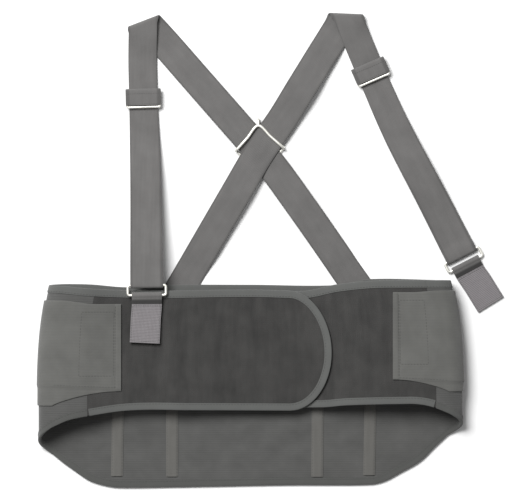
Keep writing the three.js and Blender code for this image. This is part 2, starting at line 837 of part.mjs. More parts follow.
// The half turn at the shoulder.
function foldStations(fold) {
  return Array.from({ length: turnSteps }, (_, k) => {
    const turn = (Math.PI * (k + 1)) / turnSteps;
    const middle = fold.start.clone()
      .addScaledVector(fold.axis, fold.drift * turn)
      .addScaledVector(fold.outward, shoulderRadius * Math.sin(turn));
    const height = strapWall / 2 + shoulderRadius * (1 - Math.cos(turn));
    return { middle: raised(middle, height), half: raised(fold.ruling, 0) };
  });
}

// The front run down to the ring, the turn round its bar, and the run back up to the slide.
function frontStationsOf(route, side, ring, fold) {
  const sign = Math.sign(quarter(fold.leaving).dot(fold.ruling));
  const foldTop = strapWall / 2 + 2 * shoulderRadius;
  const doubled = strapWall / 2 + strapPitch;
  const loopRadius = ringWire / 2 + clearance + strapWall / 2;
  const ringTop = ring.barHeight + loopRadius;
  const run = planStations([fold.end, ...route.front.map(plan)], stationStep);
  const total = run.at(-1).run;
  const heightAt = (place) => {
    const settled = mix(foldTop, doubled, soft(share(place, 0, settleLength)));
    const nearRing = 1 - share(total - place, ringHold, ring.climb);
    const arch = Math.sin(Math.PI * share(place, archStart, total - ring.arch)) ** 2;
    return mix(settled, ringTop, soft(nearRing)) + frontArch * arch;
  };
  const upper = run.slice(1).map((station) => {
    const nearness = 1 - share(station.run, 0, skewLength);
    return {
      middle: raised(station.middle, heightAt(station.run)),
      half: raised(halfAt(station.ahead, fold.ruling, nearness, sign), 0),
      run: station.run,
    };
  });
  const half = raised(quarter(ring.ahead).multiplyScalar((sign * strapWidth) / 2), 0);
  const turned = Array.from({ length: turnSteps }, (_, k) => {
    const turn = (Math.PI * (k + 1)) / turnSteps;
    const middle = ring.bar.clone().addScaledVector(ring.ahead, loopRadius * Math.sin(turn));
    return { middle: raised(middle, ring.barHeight + loopRadius * Math.cos(turn)), half };
  });
  const belowSlide = upper.slice(0, -1).filter(({ middle }) => middle.y < slideUp[side] * strapRise);
  const lower = belowSlide.map((station) => {
    const nearRing = soft(1 - share(total - station.run, 0, ringApproach));
    const gap = mix(strapPitch, 2 * loopRadius, nearRing);
    return { middle: station.middle.clone().setZ(station.middle.z - gap), half: station.half };
  });
  return [...upper, ...turned, ...lower.reverse()];
}

function addStrap(side, route, ring) {
  const fold = foldOf(route);
  const stations = [
    ...backStations(route, fold),
    ...foldStations(fold),
    ...frontStationsOf(route, side, ring, fold),
  ];
  place(`strap_${side}`, strip(stations, strapWall), "webbing");
}

// Corner rounded rectangle of wire in a plane through a middle point.
function frameWire(middle, ahead, width, height, diameter, bend) {
  const aside = raised(quarter(ahead), 0);
  const lengthwise = raised(ahead, 0);
  const x = width / 2 - diameter / 2 - bend;
  const y = height / 2 - diameter / 2 - bend;
  const path = [];
  const corners = [[1, 1], [-1, 1], [-1, -1], [1, -1]];
  corners.forEach(([sx, sy], quarters) => {
    for (let k = 0; k <= cornerSteps; k += 1) {
      const turn = ((quarters + k / cornerSteps) * Math.PI) / 2;
      path.push(middle.clone()
        .addScaledVector(aside, sx * x + bend * Math.cos(turn))
        .addScaledVector(lengthwise, sy * y + bend * Math.sin(turn)));
    }
  });
  return wire(path, diameter, new THREE.Vector3(0, 0, 1), true);
}

// The wire slide on the doubled strap, and the cloth band that covers all but its lower bar.
function addSlide(side, route) {
  const fold = foldOf(route);
  const run = planStations([fold.end, ...route.front.map(plan)], fineStep);
  const spot = run.find(({ middle }) => middle.y < slideUp[side] * strapRise);
  const strapTop = strapWall + strapPitch;
  const bandTurn = slideWire / 2 + clearance + bandWall / 2;
  const centre = strapTop + clearance + bandWall + clearance + slideWire / 2;
  const { middle, ahead } = spot;
  const spotAbove = raised(middle, centre);
  const frame = frameWire(spotAbove, ahead, bandWidth, slideLength, slideWire, slideBend);
  place(`adjuster_slide_${side}`, frame, "metal");
  const half = raised(quarter(ahead).multiplyScalar(bandWidth / 2), 0);
  const upperBar = -(slideLength - slideWire) / 2;
  const lowerEnd = (slideLength - slideWire) / 2 - slideWire / 2 - clearance;
  const at = (distance, height) => ({
    middle: raised(middle.clone().addScaledVector(ahead, distance), height),
    half,
  });
  const stations = [at(lowerEnd, centre - bandTurn), at(0, centre - bandTurn)];
  for (let k = 0; k <= turnSteps; k += 1) {
    const turn = (Math.PI * k) / turnSteps;
    const back = upperBar - bandTurn * Math.sin(turn);
    stations.push(at(back, centre - bandTurn * Math.cos(turn)));
  }
  stations.push(at(0, centre + bandTurn), at(lowerEnd, centre + bandTurn));
  place(`slide_band_${side}`, strip(stations, bandWall), "webbing");
}

// The ring, with the tab's webbing looped round its lower bar and the hook patch on it.
function addRingAndTab(side, ring, drift) {
  const { bar, ahead, barHeight } = ring;
  const barGap = ringHeight - ringWire;
  const centre = raised(bar.clone().addScaledVector(ahead, barGap / 2), barHeight);
  const frame = frameWire(centre, ahead, ringWidth, ringHeight, ringWire, ringBend);
  place(`ring_${side}`, frame, "metal");
  const lower = bar.clone().addScaledVector(ahead, barGap);
  const tabTurn = ringWire / 2 + clearance + tabWall / 2;
  const at = (distance, height) => {
    const angle = drift * soft(share(distance, tabTurn, tabLength / 2));
    const turned = ahead.clone().rotateAround(new THREE.Vector2(), angle);
    return {
      middle: raised(lower.clone().addScaledVector(turned, distance), height),
      half: raised(quarter(turned).multiplyScalar(tabWidth / 2), 0),
    };
  };
  const flatHeight = barHeight - tabTurn;
  const patchStart = tabLength - patchLength;
  const stations = [at(patchStart - clearance, flatHeight + tabWall + clearance)];
  for (let k = -turnSteps / 4; k <= turnSteps; k += 1) {
    const turn = (Math.PI * k) / turnSteps;
    stations.push(at(-tabTurn * Math.sin(turn), barHeight + tabTurn * Math.cos(turn)));
  }
  for (const distance of [patchStart, tabLength / 2, tabLength]) {
    stations.push(at(distance, flatHeight));
  }
  place(`tab_loop_${side}`, strip(stations, tabWall), "webbing");
  const patchHeight = flatHeight + tabWall / 2 + clearance + patchWall / 2;
  const patch = [patchStart, tabLength / 2, tabLength].map((distance) => at(distance, patchHeight));
  place(`hook_patch_${side}`, strip(patch, patchWall), "hooks");
}

// Where an edge of one strap meets an edge of the other, in plan.
function edgesMeet(first, second) {
  const edge = ({ from, to, sign }) => {
    const ahead = new THREE.Vector2().subVectors(plan(to), plan(from)).normalize();
    const start = plan(from).addScaledVector(quarter(ahead), (sign * strapWidth) / 2);
    return { start, ahead };
  };
  const a = edge(first);
  const b = edge(second);
  const between = new THREE.Vector2().subVectors(b.start, a.start);
  const reach = between.cross(b.ahead) / a.ahead.cross(b.ahead);
  return a.start.clone().addScaledVector(a.ahead, reach);
}

// The crossing's wire: shares of the way between its corners, and its rise from under both
// straps to over them. The loop runs round its corners, and the spine turns back at the tip.
const crossLoop = [
  { from: "apex", to: "right", part: 0, rise: 1 },
  { from: "apex", to: "right", part: 0.5, rise: 1 },
  { from: "apex", to: "right", part: 0.9, rise: 1 },
  { from: "right", to: "foot", part: 0, rise: 0.8 },
  { from: "right", to: "foot", part: 0.03, rise: 0.15 },
  { from: "right", to: "foot", part: 0.2, rise: 0 },
  { from: "right", to: "foot", part: 0.9, rise: 0 },
  { from: "left", to: "foot", part: 1, rise: 0 },
  { from: "left", to: "foot", part: 0.9, rise: 0 },
  { from: "left", to: "foot", part: 0.2, rise: 0 },
  { from: "left", to: "foot", part: 0.03, rise: 0.15 },
  { from: "left", to: "foot", part: 0, rise: 0.8 },
  { from: "apex", to: "left", part: 0.9, rise: 1 },
  { from: "apex", to: "left", part: 0.5, rise: 1 },
];
const crossSpine = [
  { from: "apex", to: "tip", part: 0, rise: 1 },
  { from: "apex", to: "tip", part: 0.7, rise: 0.95 },
  { from: "apex", to: "tip", part: 1, rise: 0.75 },
  { from: "apex", to: "tip", part: 1, rise: 0.25 },
  { from: "apex", to: "tip", part: 0.6, rise: 0 },
  { from: "apex", to: "foot", part: 0, rise: 0 },
  { from: "apex", to: "foot", part: 0.5, rise: 0 },
  { from: "apex", to: "foot", part: 1, rise: 0 },
];

// The wire slide at the crossing: its upper bars lie over both straps, the rest under them.
function addCrossSlide() {
  const a = rightRoute.back;
  const b = leftRoute.back;
  const aBelow = { from: a[2], to: a[4] };
  const aAbove = { from: a[5], to: a[8] };
  const bBelow = { from: b[2], to: b[4] };
  const bAbove = { from: b[6], to: b[8] };
  const top = edgesMeet({ ...aAbove, sign: 1 }, { ...bAbove, sign: -1 });
  const right = edgesMeet({ ...aAbove, sign: -1 }, { ...bBelow, sign: -1 });
  const left = edgesMeet({ ...aBelow, sign: 1 }, { ...bAbove, sign: 1 });
  const bottom = edgesMeet({ ...aBelow, sign: -1 }, { ...bBelow, sign: 1 });
  const middle = new THREE.Vector2().addVectors(left, right).multiplyScalar(0.5);
  const outside = (spot, extra) => {
    const away = new THREE.Vector2().subVectors(spot, middle).normalize();
    return spot.clone().addScaledVector(away, extra);
  };
  const slipped = (spot, { from, to }, slip) => {
    const ahead = new THREE.Vector2().subVectors(plan(to), plan(from)).normalize();
    return spot.addScaledVector(ahead, slip);
  };
  const apex = outside(top, crossGap);
  const corner = crossWire / 2 + crossGap;
  const corners = {
    apex,
    right: slipped(outside(right, corner), aAbove, crossSlip.right),
    left: slipped(outside(left, corner), bAbove, crossSlip.left),
    foot: outside(bottom, -corner),
    tip: apex.clone().add(new THREE.Vector2(0, crossPost)),
  };
  const pathOf = (table) => table.map(({ from, to, part, rise }) => {
    const spot = new THREE.Vector2().lerpVectors(corners[from], corners[to], part);
    return raised(spot, mix(crossUnder, crossOver, rise));
  });
  const loopCurve = new THREE.CatmullRomCurve3(pathOf(crossLoop), true, "centripetal");
  const loopPath = loopCurve.getPoints(crossSteps).slice(0, crossSteps);
  const loop = wire(loopPath, crossWire, new THREE.Vector3(0, 0, 1), true);
  const spineCurve = new THREE.CatmullRomCurve3(pathOf(crossSpine), false, "centripetal");
  const spine = wire(spineCurve.getPoints(postSteps), crossWire, new THREE.Vector3(1, 0, 0), false);
  place("cross_slide", joined(loop, spine), "metal");
}

addBody();
addBodyBindings();
addStays();
const rightColumns = frontColumns(rightSeam - seamGap, rightRound, rightTop, rightBottom);
const leftColumns = frontColumns(leftSeam + seamGap, leftRound, leftTop, leftBottom);
addFront("right", 1, rightColumns, () => 0);
addFront("left", -1, leftColumns, leftOver);
addCinch("left", cinchLeft);
addCinch("right", cinchRight);

// The right ring lies on the surface; the left one lies on the front panel's upper edge.
const floorBar = tabWall + clearance + ringWire / 2;
const leftX = plan(leftRoute.front.at(-1)).x;
const panelTop = Math.max(...[leftX - ringWidth / 2, leftX, leftX + ringWidth / 2].map((x) => {
  return frontHeight(x) + leftOver(x) + frontWall;
}));
const leftBar = panelTop + bindingStand + 2 * clearance + floorBar;
const rightRing = { ...ringSpot(rightRoute, floorBar), ...rightClimbing };
const leftRing = { ...ringSpot(leftRoute, leftBar), ...leftClimbing };
addStrap("right", rightRoute, rightRing);
addStrap("left", leftRoute, leftRing);
addSlide("right", rightRoute);
addSlide("left", leftRoute);
addRingAndTab("right", rightRing, tabDrift.right);
addRingAndTab("left", leftRing, tabDrift.left);
addCrossSlide();

// The origin is at the bottom centre of the whole object's box.
const bounds = new THREE.Box3().setFromObject(group);
const centre = bounds.getCenter(new THREE.Vector3());
group.position.set(-centre.x, -centre.y, -bounds.min.z);

export default group;
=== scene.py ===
"""Looks of a back support belt with suspenders, fastened and lying on a pale floor.

Sizes are millimetres until they reach Blender, which works in metres. q runs round the belt's
loop from the middle of the back, y up from the belt's top line, and d outwards from the loop's
inside. The sizes and tables that place things repeat those of the part's source.
"""
import math

import bpy
import numpy as np
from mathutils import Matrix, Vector


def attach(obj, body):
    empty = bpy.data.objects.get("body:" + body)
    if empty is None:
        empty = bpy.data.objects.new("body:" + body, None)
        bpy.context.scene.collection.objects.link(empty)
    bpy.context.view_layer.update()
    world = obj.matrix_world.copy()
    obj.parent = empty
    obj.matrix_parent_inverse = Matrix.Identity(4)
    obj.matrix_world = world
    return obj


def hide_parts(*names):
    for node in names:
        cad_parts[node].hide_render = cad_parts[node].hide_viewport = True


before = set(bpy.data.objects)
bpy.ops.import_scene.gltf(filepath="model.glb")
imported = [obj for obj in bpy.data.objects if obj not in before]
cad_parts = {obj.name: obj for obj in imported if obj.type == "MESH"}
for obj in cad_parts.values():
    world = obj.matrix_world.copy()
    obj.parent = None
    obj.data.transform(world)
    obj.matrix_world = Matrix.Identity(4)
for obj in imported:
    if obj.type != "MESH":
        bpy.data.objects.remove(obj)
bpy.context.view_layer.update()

MM = 0.001
ORIGIN = np.array([-22.493, -38.956, 0.0])

# Sizes of the belt.
HALF = 235.0
BACK_HEIGHT = 227.0
LOOP_HEIGHT = 34.0
FOLD_RADIUS = 14.0
FLAT = HALF - FOLD_RADIUS
FOLD = math.pi * FOLD_RADIUS
TOP_NARROWING = 0.055
NARROWING_END = 0.65
PANEL_WALL = 1.8
FRONT_WALL = 2.2
CINCH_WALL = 1.6
STAY_WALL = 1.3
STRAP_WALL = 1.4
BAND_WALL = 1.2
TAB_WALL = 1.4
PATCH_WALL = 1.2
BINDING_WALL = 0.4
BINDING_WIDTH = 7.5
BINDING_GAP = 0.3
STAY_WIDTH = 13.0
STRAP_WIDTH = 34.0
BAND_WIDTH = 39.5
TAB_WIDTH = 33.5
PATCH_LENGTH = 43.5
TAB_LENGTH = 53.5
TAB_DRIFT = {"left": -0.06, "right": 0.08}
STRAP_RISE = 305.0
SHOULDER_RADIUS = 3.0
STRAP_PITCH = 2.1
SKEW_LENGTH = 24.0
SETTLE_LENGTH = 40.0
ARCH_START = 100.0
FRONT_ARCH = 5.0
RING_HOLD = 4.0
RING_APPROACH = STRAP_WIDTH * 0.4
SLIDE_WIRE = 3.0
SLIDE_LENGTH = 20.5
SLIDE_BEND = 2.0
CROSS_WIRE = 3.2
CROSS_POST = 7.0
CROSS_GAP = 1.2
CROSS_SLIP = {"left": 4.5, "right": 3.0}
RING_WIRE = 3.0
RING_WIDTH = 45.5
RING_HEIGHT = 14.0
RING_BEND = 2.2
CLEARANCE = 0.3
BINDING_STAND = BINDING_GAP + BINDING_WALL
LIFT = STRAP_WALL + CLEARANCE + BINDING_STAND
CROSSOVER = 2 * BINDING_STAND + CLEARANCE

# Edges of the belt: across in half widths, down from the top line in back heights.
BACK_TOP = np.array([
    [-1.0, -0.002], [-0.814, 0.0], [-0.626, 0.014], [-0.434, 0.003],
    [0.0, 0.002], [0.428, 0.004], [0.606, -0.026], [1.0, -0.02],
])
BACK_BOTTOM = np.array([
    [-0.94, 0.837], [-0.899, 0.872], [-0.832, 0.921], [-0.765, 0.966], [-0.67, 0.993],
    [-0.6, 0.998], [-0.384, 0.996], [0.188, 0.985], [0.57, 0.983], [0.641, 0.966],
    [0.713, 0.926], [0.808, 0.869], [0.879, 0.798], [0.94, 0.739],
])
LEFT_TOP = np.array([
    [-1.0, 0.0], [-0.8, 0.02], [-0.5, 0.03], [0.0, 0.025], [0.2, 0.03], [0.4, 0.03],
])
LEFT_BOTTOM = np.array([
    [-0.94, 0.695], [-0.862, 0.66], [-0.764, 0.64], [-0.618, 0.618],
    [-0.484, 0.611], [-0.291, 0.613], [0.214, 0.616], [0.4, 0.616],
])
RIGHT_TOP = np.array([
    [-0.4, 0.032], [0.26, 0.032], [0.43, 0.0], [0.6, -0.018], [0.75, -0.021], [1.0, -0.021],
])
RIGHT_BOTTOM = np.array([
    [-0.4, 0.601], [0.334, 0.6], [0.454, 0.589], [0.573, 0.584],
    [0.716, 0.581], [0.788, 0.581], [0.86, 0.594], [0.94, 0.626],
])
# Inside height under the front: across in half widths, rise in loop heights.
LOOP_TOP = np.array([
    [-0.94, 0.97], [-0.87, 1.0], [-0.8, 0.95], [-0.72, 0.8], [-0.65, 0.67], [-0.59, 0.62],
    [-0.51, 0.605], [-0.4, 0.59], [-0.27, 0.51], [-0.1, 0.42], [0.1, 0.39], [0.27, 0.42],
    [0.36, 0.52], [0.45, 0.7], [0.57, 0.88], [0.713, 0.97], [0.856, 1.0], [0.94, 0.96],
])

LEFT_SEAM = -0.775
RIGHT_SEAM = 0.88
LEFT_ROUND = (0.188, 0.386)
RIGHT_ROUND = (-0.106, -0.305)
RAMP = (-0.47, -0.316)
CINCH_INNER = 0.18
CINCH_STEP = 0.06
LOWER_START = 0.012
LOWER_STEP = 0.06
CINCH_LEFT = {
    "side": -1, "end": 0.615, "back_top": 0.125, "fold_top": 0.075, "end_top": 0.093,
    "back_bottom": 0.56, "fold_bottom": 0.592, "end_bottom": 0.522,
    "hem_fold": 0.497, "hem_end": 0.512,
}
CINCH_RIGHT = {
    "side": 1, "end": 0.675, "back_top": 0.125, "fold_top": 0.026, "end_top": 0.034,
    "back_bottom": 0.5, "fold_bottom": 0.522, "end_bottom": 0.463,
    "hem_fold": 0.473, "hem_end": 0.459,
}
STAY_START = 0.05
STAYS = [(-0.625, -0.637, 0.019), (-0.375, -0.374, 0.015), (0.325, 0.318, 0.003), (0.58, 0.566, 0.01)]

# Suspender routes: across in half widths, up in strap rises, height from surface to crossing.
RIGHT_ROUTE = {
    "back": np.array([
        [-0.3635, -0.051, 0], [-0.2911, 0.045, 0], [-0.2044, 0.16, 1.05], [-0.0612, 0.35, 1.6],
        [0.0331, 0.475, 1], [0.089, 0.54, 1], [0.152, 0.61, 1.05], [0.2393, 0.72, 1.75],
        [0.3309, 0.835, 1], [0.4185, 0.945, 0],
    ]),
    "shoulder": (0.455, 0.998),
    "front": ((0.574, 0.782), (0.704, 0.558), (0.881, 0.297), (1.0058, 0.1093)),
    "slide": 0.782, "climb": 16.0, "arch_end": 20.0,
}
LEFT_ROUTE = {
    "back": np.array([
        [0.551, -0.051, 0], [0.4625, 0.045, 0], [0.387, 0.13, 0.6], [0.2415, 0.29, 1.25],
        [0.1087, 0.431, 1], [0.0177, 0.514, 1], [-0.0448, 0.569, 1], [-0.1233, 0.638, 0.9],
        [-0.2836, 0.779, 0.6], [-0.4188, 0.898, 0],
    ]),
    "shoulder": (-0.51, 0.972),
    "front": ((-0.515, 0.83), (-0.511, 0.687), (-0.5, 0.4), (-0.4925, -0.0005)),
    "slide": 0.687, "climb": 170.0, "arch_end": 60.0,
}
CROSS_UNDER = CROSS_WIRE / 2 + CLEARANCE / 2
LEFT_CROSS = CROSS_UNDER + CROSS_WIRE / 2 + CLEARANCE + STRAP_WALL / 2
RIGHT_CROSS = LEFT_CROSS + STRAP_WALL + CLEARANCE
CROSS_OVER = RIGHT_CROSS + STRAP_WALL / 2 + CLEARANCE + CROSS_WIRE / 2

# The crossing's wire: from one corner to another, share of the way, rise from under to over.
CROSS_LOOP = (
    ("apex", "right", 0, 1), ("apex", "right", 0.5, 1), ("apex", "right", 0.9, 1),
    ("right", "foot", 0, 0.8), ("right", "foot", 0.03, 0.15), ("right", "foot", 0.2, 0),
    ("right", "foot", 0.9, 0), ("left", "foot", 1, 0), ("left", "foot", 0.9, 0),
    ("left", "foot", 0.2, 0), ("left", "foot", 0.03, 0.15), ("left", "foot", 0, 0.8),
    ("apex", "left", 0.9, 1), ("apex", "left", 0.5, 1),
)
CROSS_SPINE = (
    ("apex", "tip", 0, 1), ("apex", "tip", 0.7, 0.95), ("apex", "tip", 1, 0.75),
    ("apex", "tip", 1, 0.25), ("apex", "tip", 0.6, 0), ("apex", "foot", 0, 0),
    ("apex", "foot", 0.5, 0), ("apex", "foot", 1, 0),
)

# Details of the cloth that only the looks have, in millimetres.
UNEVEN = 0.7
STAY_RIM = 0.45
STITCH_INSET = 1.5
HEM_STEP = (5.4, 6.6)
HEM_RISE = 0.5
HEM_STITCH = 6.8
GROOVE_AT = 7.2
GROOVE_WIDTH = 0.9
GROOVE_DEPTH = 0.35
LAYER_STEP = 0.85
LAYER_EDGE = 1.2
LAYER_STITCH = 1.6
BOX_OUTER = 8.5
BOX_INNER = {"left": 47.0, "right": 40.0}
BOX_TOP = 9.0
BOX_BOTTOM = 17.0

# Width of each suspender's front run, as shares of the webbing's, at shares of its length.
WIDTH_AT = (0, 0.3, 0.5, 1)
FRONT_WIDTHS = {"right": (0.94, 0.94, 1.0, 1.09), "left": (0.94, 0.94, 0.99, 1.075)}

# Fineness: columns of the back, of each fold and across a stay, and turns of a rounded edge.
BACK_COLUMNS = 141
FOLD_COLUMNS = 17
STAY_LANES = 15
RIM_TURNS = np.array([0.25, 0.5, 0.75]) * np.pi


def soft(t):
    return t * t * (3 - 2 * t)


def share(value, start, end):
    return np.clip((np.asarray(value, float) - start) / (end - start), 0, 1)


def mix(a, b, t):
    return a + (b - a) * t


def unit(v):
    return v / np.maximum(np.linalg.norm(v, axis=-1, keepdims=True), 1e-9)


def join(*parts):
    return np.concatenate(parts)


def spread(*values):
    """Arrays of one shape from numbers and arrays."""
    return np.broadcast_arrays(*(np.asarray(value, float) for value in values))


def run_of(points):
    """Length along a path at each of its points."""
    return join([0], np.cumsum(np.linalg.norm(np.diff(points, axis=0), axis=1)))


def circle(aside, up, turn):
    """Unit vectors round each station of a path."""
    return aside[:, None] * np.cos(turn)[None, :, None] + up[:, None] * np.sin(turn)[None, :, None]


def along(table, across):
    """Smooth value of a table's second column."""
    x, y = table[:, 0], table[:, 1]
    across = np.asarray(across, float)
    k = np.clip(np.searchsorted(x, across) - 1, 0, len(x) - 2)
    before, after = np.maximum(k - 1, 0), np.minimum(k + 2, len(x) - 1)
    span = x[k + 1] - x[k]
    t = np.clip((across - x[k]) / span, 0, 1)
    slope_a = (y[k + 1] - y[before]) / (x[k + 1] - x[before]) * span
    slope_b = (y[after] - y[k]) / (x[after] - x[k]) * span
    return (
        (2 * t**3 - 3 * t**2 + 1) * y[k] + (t**3 - 2 * t**2 + t) * slope_a
        + (3 * t**2 - 2 * t**3) * y[k + 1] + (t**3 - t**2) * slope_b
    )


def ripple(q, y):
    """Soft waves in the cloth, from 0 to 1, the same for every layer."""
    waves = (
        np.sin(q / 31 + 0.6 * np.sin(y / 47 + 1.1)) + np.sin(q / 17 + y / 60 + 2.0) * 0.6
        + np.sin(y / 26 + q / 90) * 0.7 + np.sin(q / 11 - y / 75 + 0.4) * 0.3
    )
    return 0.5 + waves / 5.2


def front_height(x):
    return LOOP_HEIGHT * along(LOOP_TOP, x / HALF)


def narrowing(y):
    rest = np.maximum(1 + y / BACK_HEIGHT / NARROWING_END, 0)
    return 1 - TOP_NARROWING * rest**3


def floor_height(q, y):
    """Height of the back's inside, which stands on the outer pulls where they are under it."""
    inner = (CINCH_INNER - 0.01) * HALF
    sideways = share(np.abs(q), inner - CINCH_STEP * HALF, inner)
    low = np.where(q < 0, CINCH_LEFT["fold_bottom"], CINCH_RIGHT["fold_bottom"]) + LOWER_START
    downwards = 1 - share(-y / BACK_HEIGHT, low, low + LOWER_STEP)
    return PANEL_WALL + mix(BINDING_STAND, LIFT, sideways * downwards)


def front_x(q):
    """Place across on the front for a loop coordinate past a fold."""
    side = np.where(q < 0, -1.0, 1.0)
    return side * (FLAT - np.maximum(np.abs(q) - FLAT - FOLD, 0))


def front_q(side, x):
    return side * (FLAT + FOLD + FLAT - side * x)


def loop(q, y, d):
    """Points of the loop."""
    q, y, d = spread(q, y, d)
    side = np.where(q < 0, -1.0, 1.0)
    turn = np.pi * share(np.abs(q), FLAT, FLAT + FOLD)
    uneven = UNEVEN * ripple(q, y)
    low = floor_height(q, y) + uneven
    high = front_height(front_x(q)) - uneven
    flat = np.where(np.abs(q) <= FLAT, np.abs(q), side * front_x(q))
    x = side * (narrowing(y) * flat + (FOLD_RADIUS + d) * np.sin(turn))
    z = (low + high) / 2 - ((high - low) / 2 + d) * np.cos(turn)
    return np.stack([x, y, z], axis=-1)


def loop_normal(q, y, d):
    """Outward normals of the loop's surface."""
    step = 0.5
    du = loop(q + step, y, d) - loop(q - step, y, d)
    dv = loop(q, y + step, d) - loop(q, y - step, d)
    normal = unit(np.cross(du, dv))
    outward = loop(q, y, d + step) - loop(q, y, d)
    sign = np.where((normal * outward).sum(-1, keepdims=True) < 0, -1.0, 1.0)
    return normal * sign


def down(part):
    return -np.asarray(part, float) * BACK_HEIGHT


def body_edges(q):
    """Upper and lower edge of the body, as shares of the back's height."""
    across = np.clip(q, -FLAT, FLAT) / HALF
    turn = share(np.abs(q), FLAT, FLAT + FOLD)
    front = front_x(q) / HALF
    top = np.where(q < 0, along(LEFT_TOP, front), along(RIGHT_TOP, front))
    bottom = np.where(q < 0, along(LEFT_BOTTOM, front), along(RIGHT_BOTTOM, front))
    return mix(along(BACK_TOP, across), top, turn), mix(along(BACK_BOTTOM, across), bottom, turn)


# Meshes.


def add_mesh(name, points, faces, material, uvs=None, sharp=40):
    """A smooth mesh object from points in millimetres, with cloth coordinates as its UVs or zeros."""
    mesh = bpy.data.meshes.new(name)
    mesh.from_pydata(((points + ORIGIN) * MM).tolist(), [], faces)
    if uvs is None:
        uvs = np.zeros((len(points), 2))
    layer = mesh.uv_layers.new(name="cloth")
    corners = np.empty(len(mesh.loops), dtype=np.int32)
    mesh.loops.foreach_get("vertex_index", corners)
    layer.data.foreach_set("uv", np.asarray(uvs, np.float32)[corners].ravel())
    mesh.shade_smooth()
    mesh.set_sharp_from_angle(angle=math.radians(sharp))
    mesh.materials.append(material)
    obj = bpy.data.objects.new(name, mesh)
    bpy.context.scene.collection.objects.link(obj)
    return obj


def volume(points, faces):
    total = 0.0
    for face in faces:
        a = points[face[0]]
        for b, c in zip(face[1:-1], face[2:]):
            total += float(np.dot(a, np.cross(points[b], points[c])))
    return total


def facing_out(points, faces):
    """The faces, turned over where they look inwards."""
    if volume(points, faces) < 0:
        return [tuple(reversed(f)) for f in faces]
    return faces


def skin_faces(rows, columns, start=0):
    """Faces of a tube over a grid whose columns run round, with a face on each end."""
    i, j = np.meshgrid(np.arange(rows - 1), np.arange(columns), indexing="ij")
    a = start + i * columns + j
    b = start + i * columns + (j + 1) % columns
    quads = np.stack([a, b, b + columns, a + columns], axis=-1).reshape(-1, 4)
    faces = [tuple(f) for f in quads.tolist()]
    first = tuple(range(start + columns - 1, start - 1, -1))
    last = tuple(range(start + (rows - 1) * columns, start + rows * columns))
    return faces + [first, last]


def add_skin(name, grid, uvs, material, sharp=40):
    rows, columns = grid.shape[:2]
    points = grid.reshape(-1, 3)
    faces = facing_out(points, skin_faces(rows, columns))
    return add_mesh(name, points, faces, material, uvs.reshape(-1, 2), sharp)


def slab(name, q, top, bottom, inner, outer, material, rows=24, relief=None, shift=None):
    """A cloth wall with rounded edges between two distances d, over columns of the loop."""
    q = np.asarray(q, float)[:, None]
    top, bottom = down(top)[:, None], down(bottom)[:, None]
    q, inner, outer = spread(q, np.reshape(inner, (-1, 1)), np.reshape(outer, (-1, 1)))
    radius = (outer - inner) / 2
    middle = (outer + inner) / 2
    part = np.linspace(0, 1, rows)[None, :]
    y = mix(top - radius, bottom + radius, part)
    bump = relief(np.broadcast_to(q, y.shape), y) if relief else np.zeros(y.shape)
    bend, back = RIM_TURNS, RIM_TURNS[::-1]
    ys = [y, bottom + radius * (1 - np.sin(bend)), y[:, ::-1], top - radius * (1 - np.sin(back))]
    low_rim = middle + radius * np.cos(bend) + bump[:, -1:] * (1 + np.cos(bend)) / 2
    high_rim = middle + radius * np.cos(back) + bump[:, :1] * (1 + np.cos(back)) / 2
    ds = [outer + bump, low_rim, inner + 0 * y, high_rim]
    y_all, d_all = np.concatenate(ys, axis=1), np.concatenate(ds, axis=1)
    q_all = np.broadcast_to(q, y_all.shape)
    if shift:
        q_all = q_all + shift(q_all, y_all)
    return add_skin(name, loop(q_all, y_all, d_all), np.stack([q_all, y_all], axis=-1), material)


def ribbon(name, middles, halves, runs, wall, material, lanes=9):
    """A flat strip with rounded edges through stations."""
    radius = wall / 2
    width = np.linalg.norm(halves, axis=1)
    inset = 1 - radius / width[:, None]
    lane = np.linspace(-1, 1, lanes)[None, :] * inset
    grid = middles[:, None, :] + halves[:, None, :] * lane[..., None]
    normal = unit(np.cross(np.gradient(grid, axis=1), np.gradient(grid, axis=0)))
    aside = unit(halves)[:, None, :]
    rims = []
    for end, sign, turns in ((-1, 1, RIM_TURNS), (0, -1, RIM_TURNS[::-1])):
        rim = (
            grid[:, end][:, None, :]
            + aside * (sign * radius * np.sin(turns))[None, :, None]
            + normal[:, end][:, None, :] * (radius * np.cos(turns))[None, :, None]
        )
        rims.append(rim)
    over = grid + normal * radius
    under = (grid - normal * radius)[:, ::-1]
    section = np.concatenate([over, rims[0], under, rims[1]], axis=1)
    across = lane * width[:, None]
    edge = np.repeat(width[:, None], len(RIM_TURNS), axis=1)
    u = np.concatenate([across, edge, across[:, ::-1], -edge], axis=1)
    v = np.broadcast_to(np.asarray(runs, float)[:, None], u.shape)
    return add_skin(name, section, np.stack([u, v], axis=-1), material)


def tube_grid(path, radius, up, closed, sides=12):
    around = np.roll(path, -1, axis=0) - np.roll(path, 1, axis=0)
    ahead = unit(around if closed else np.gradient(path, axis=0))
    aside = unit(np.cross(ahead, np.asarray(up, float)))
    over = np.cross(aside, ahead)
    return path[:, None] + radius * circle(aside, over, 2 * np.pi * np.arange(sides) / sides)


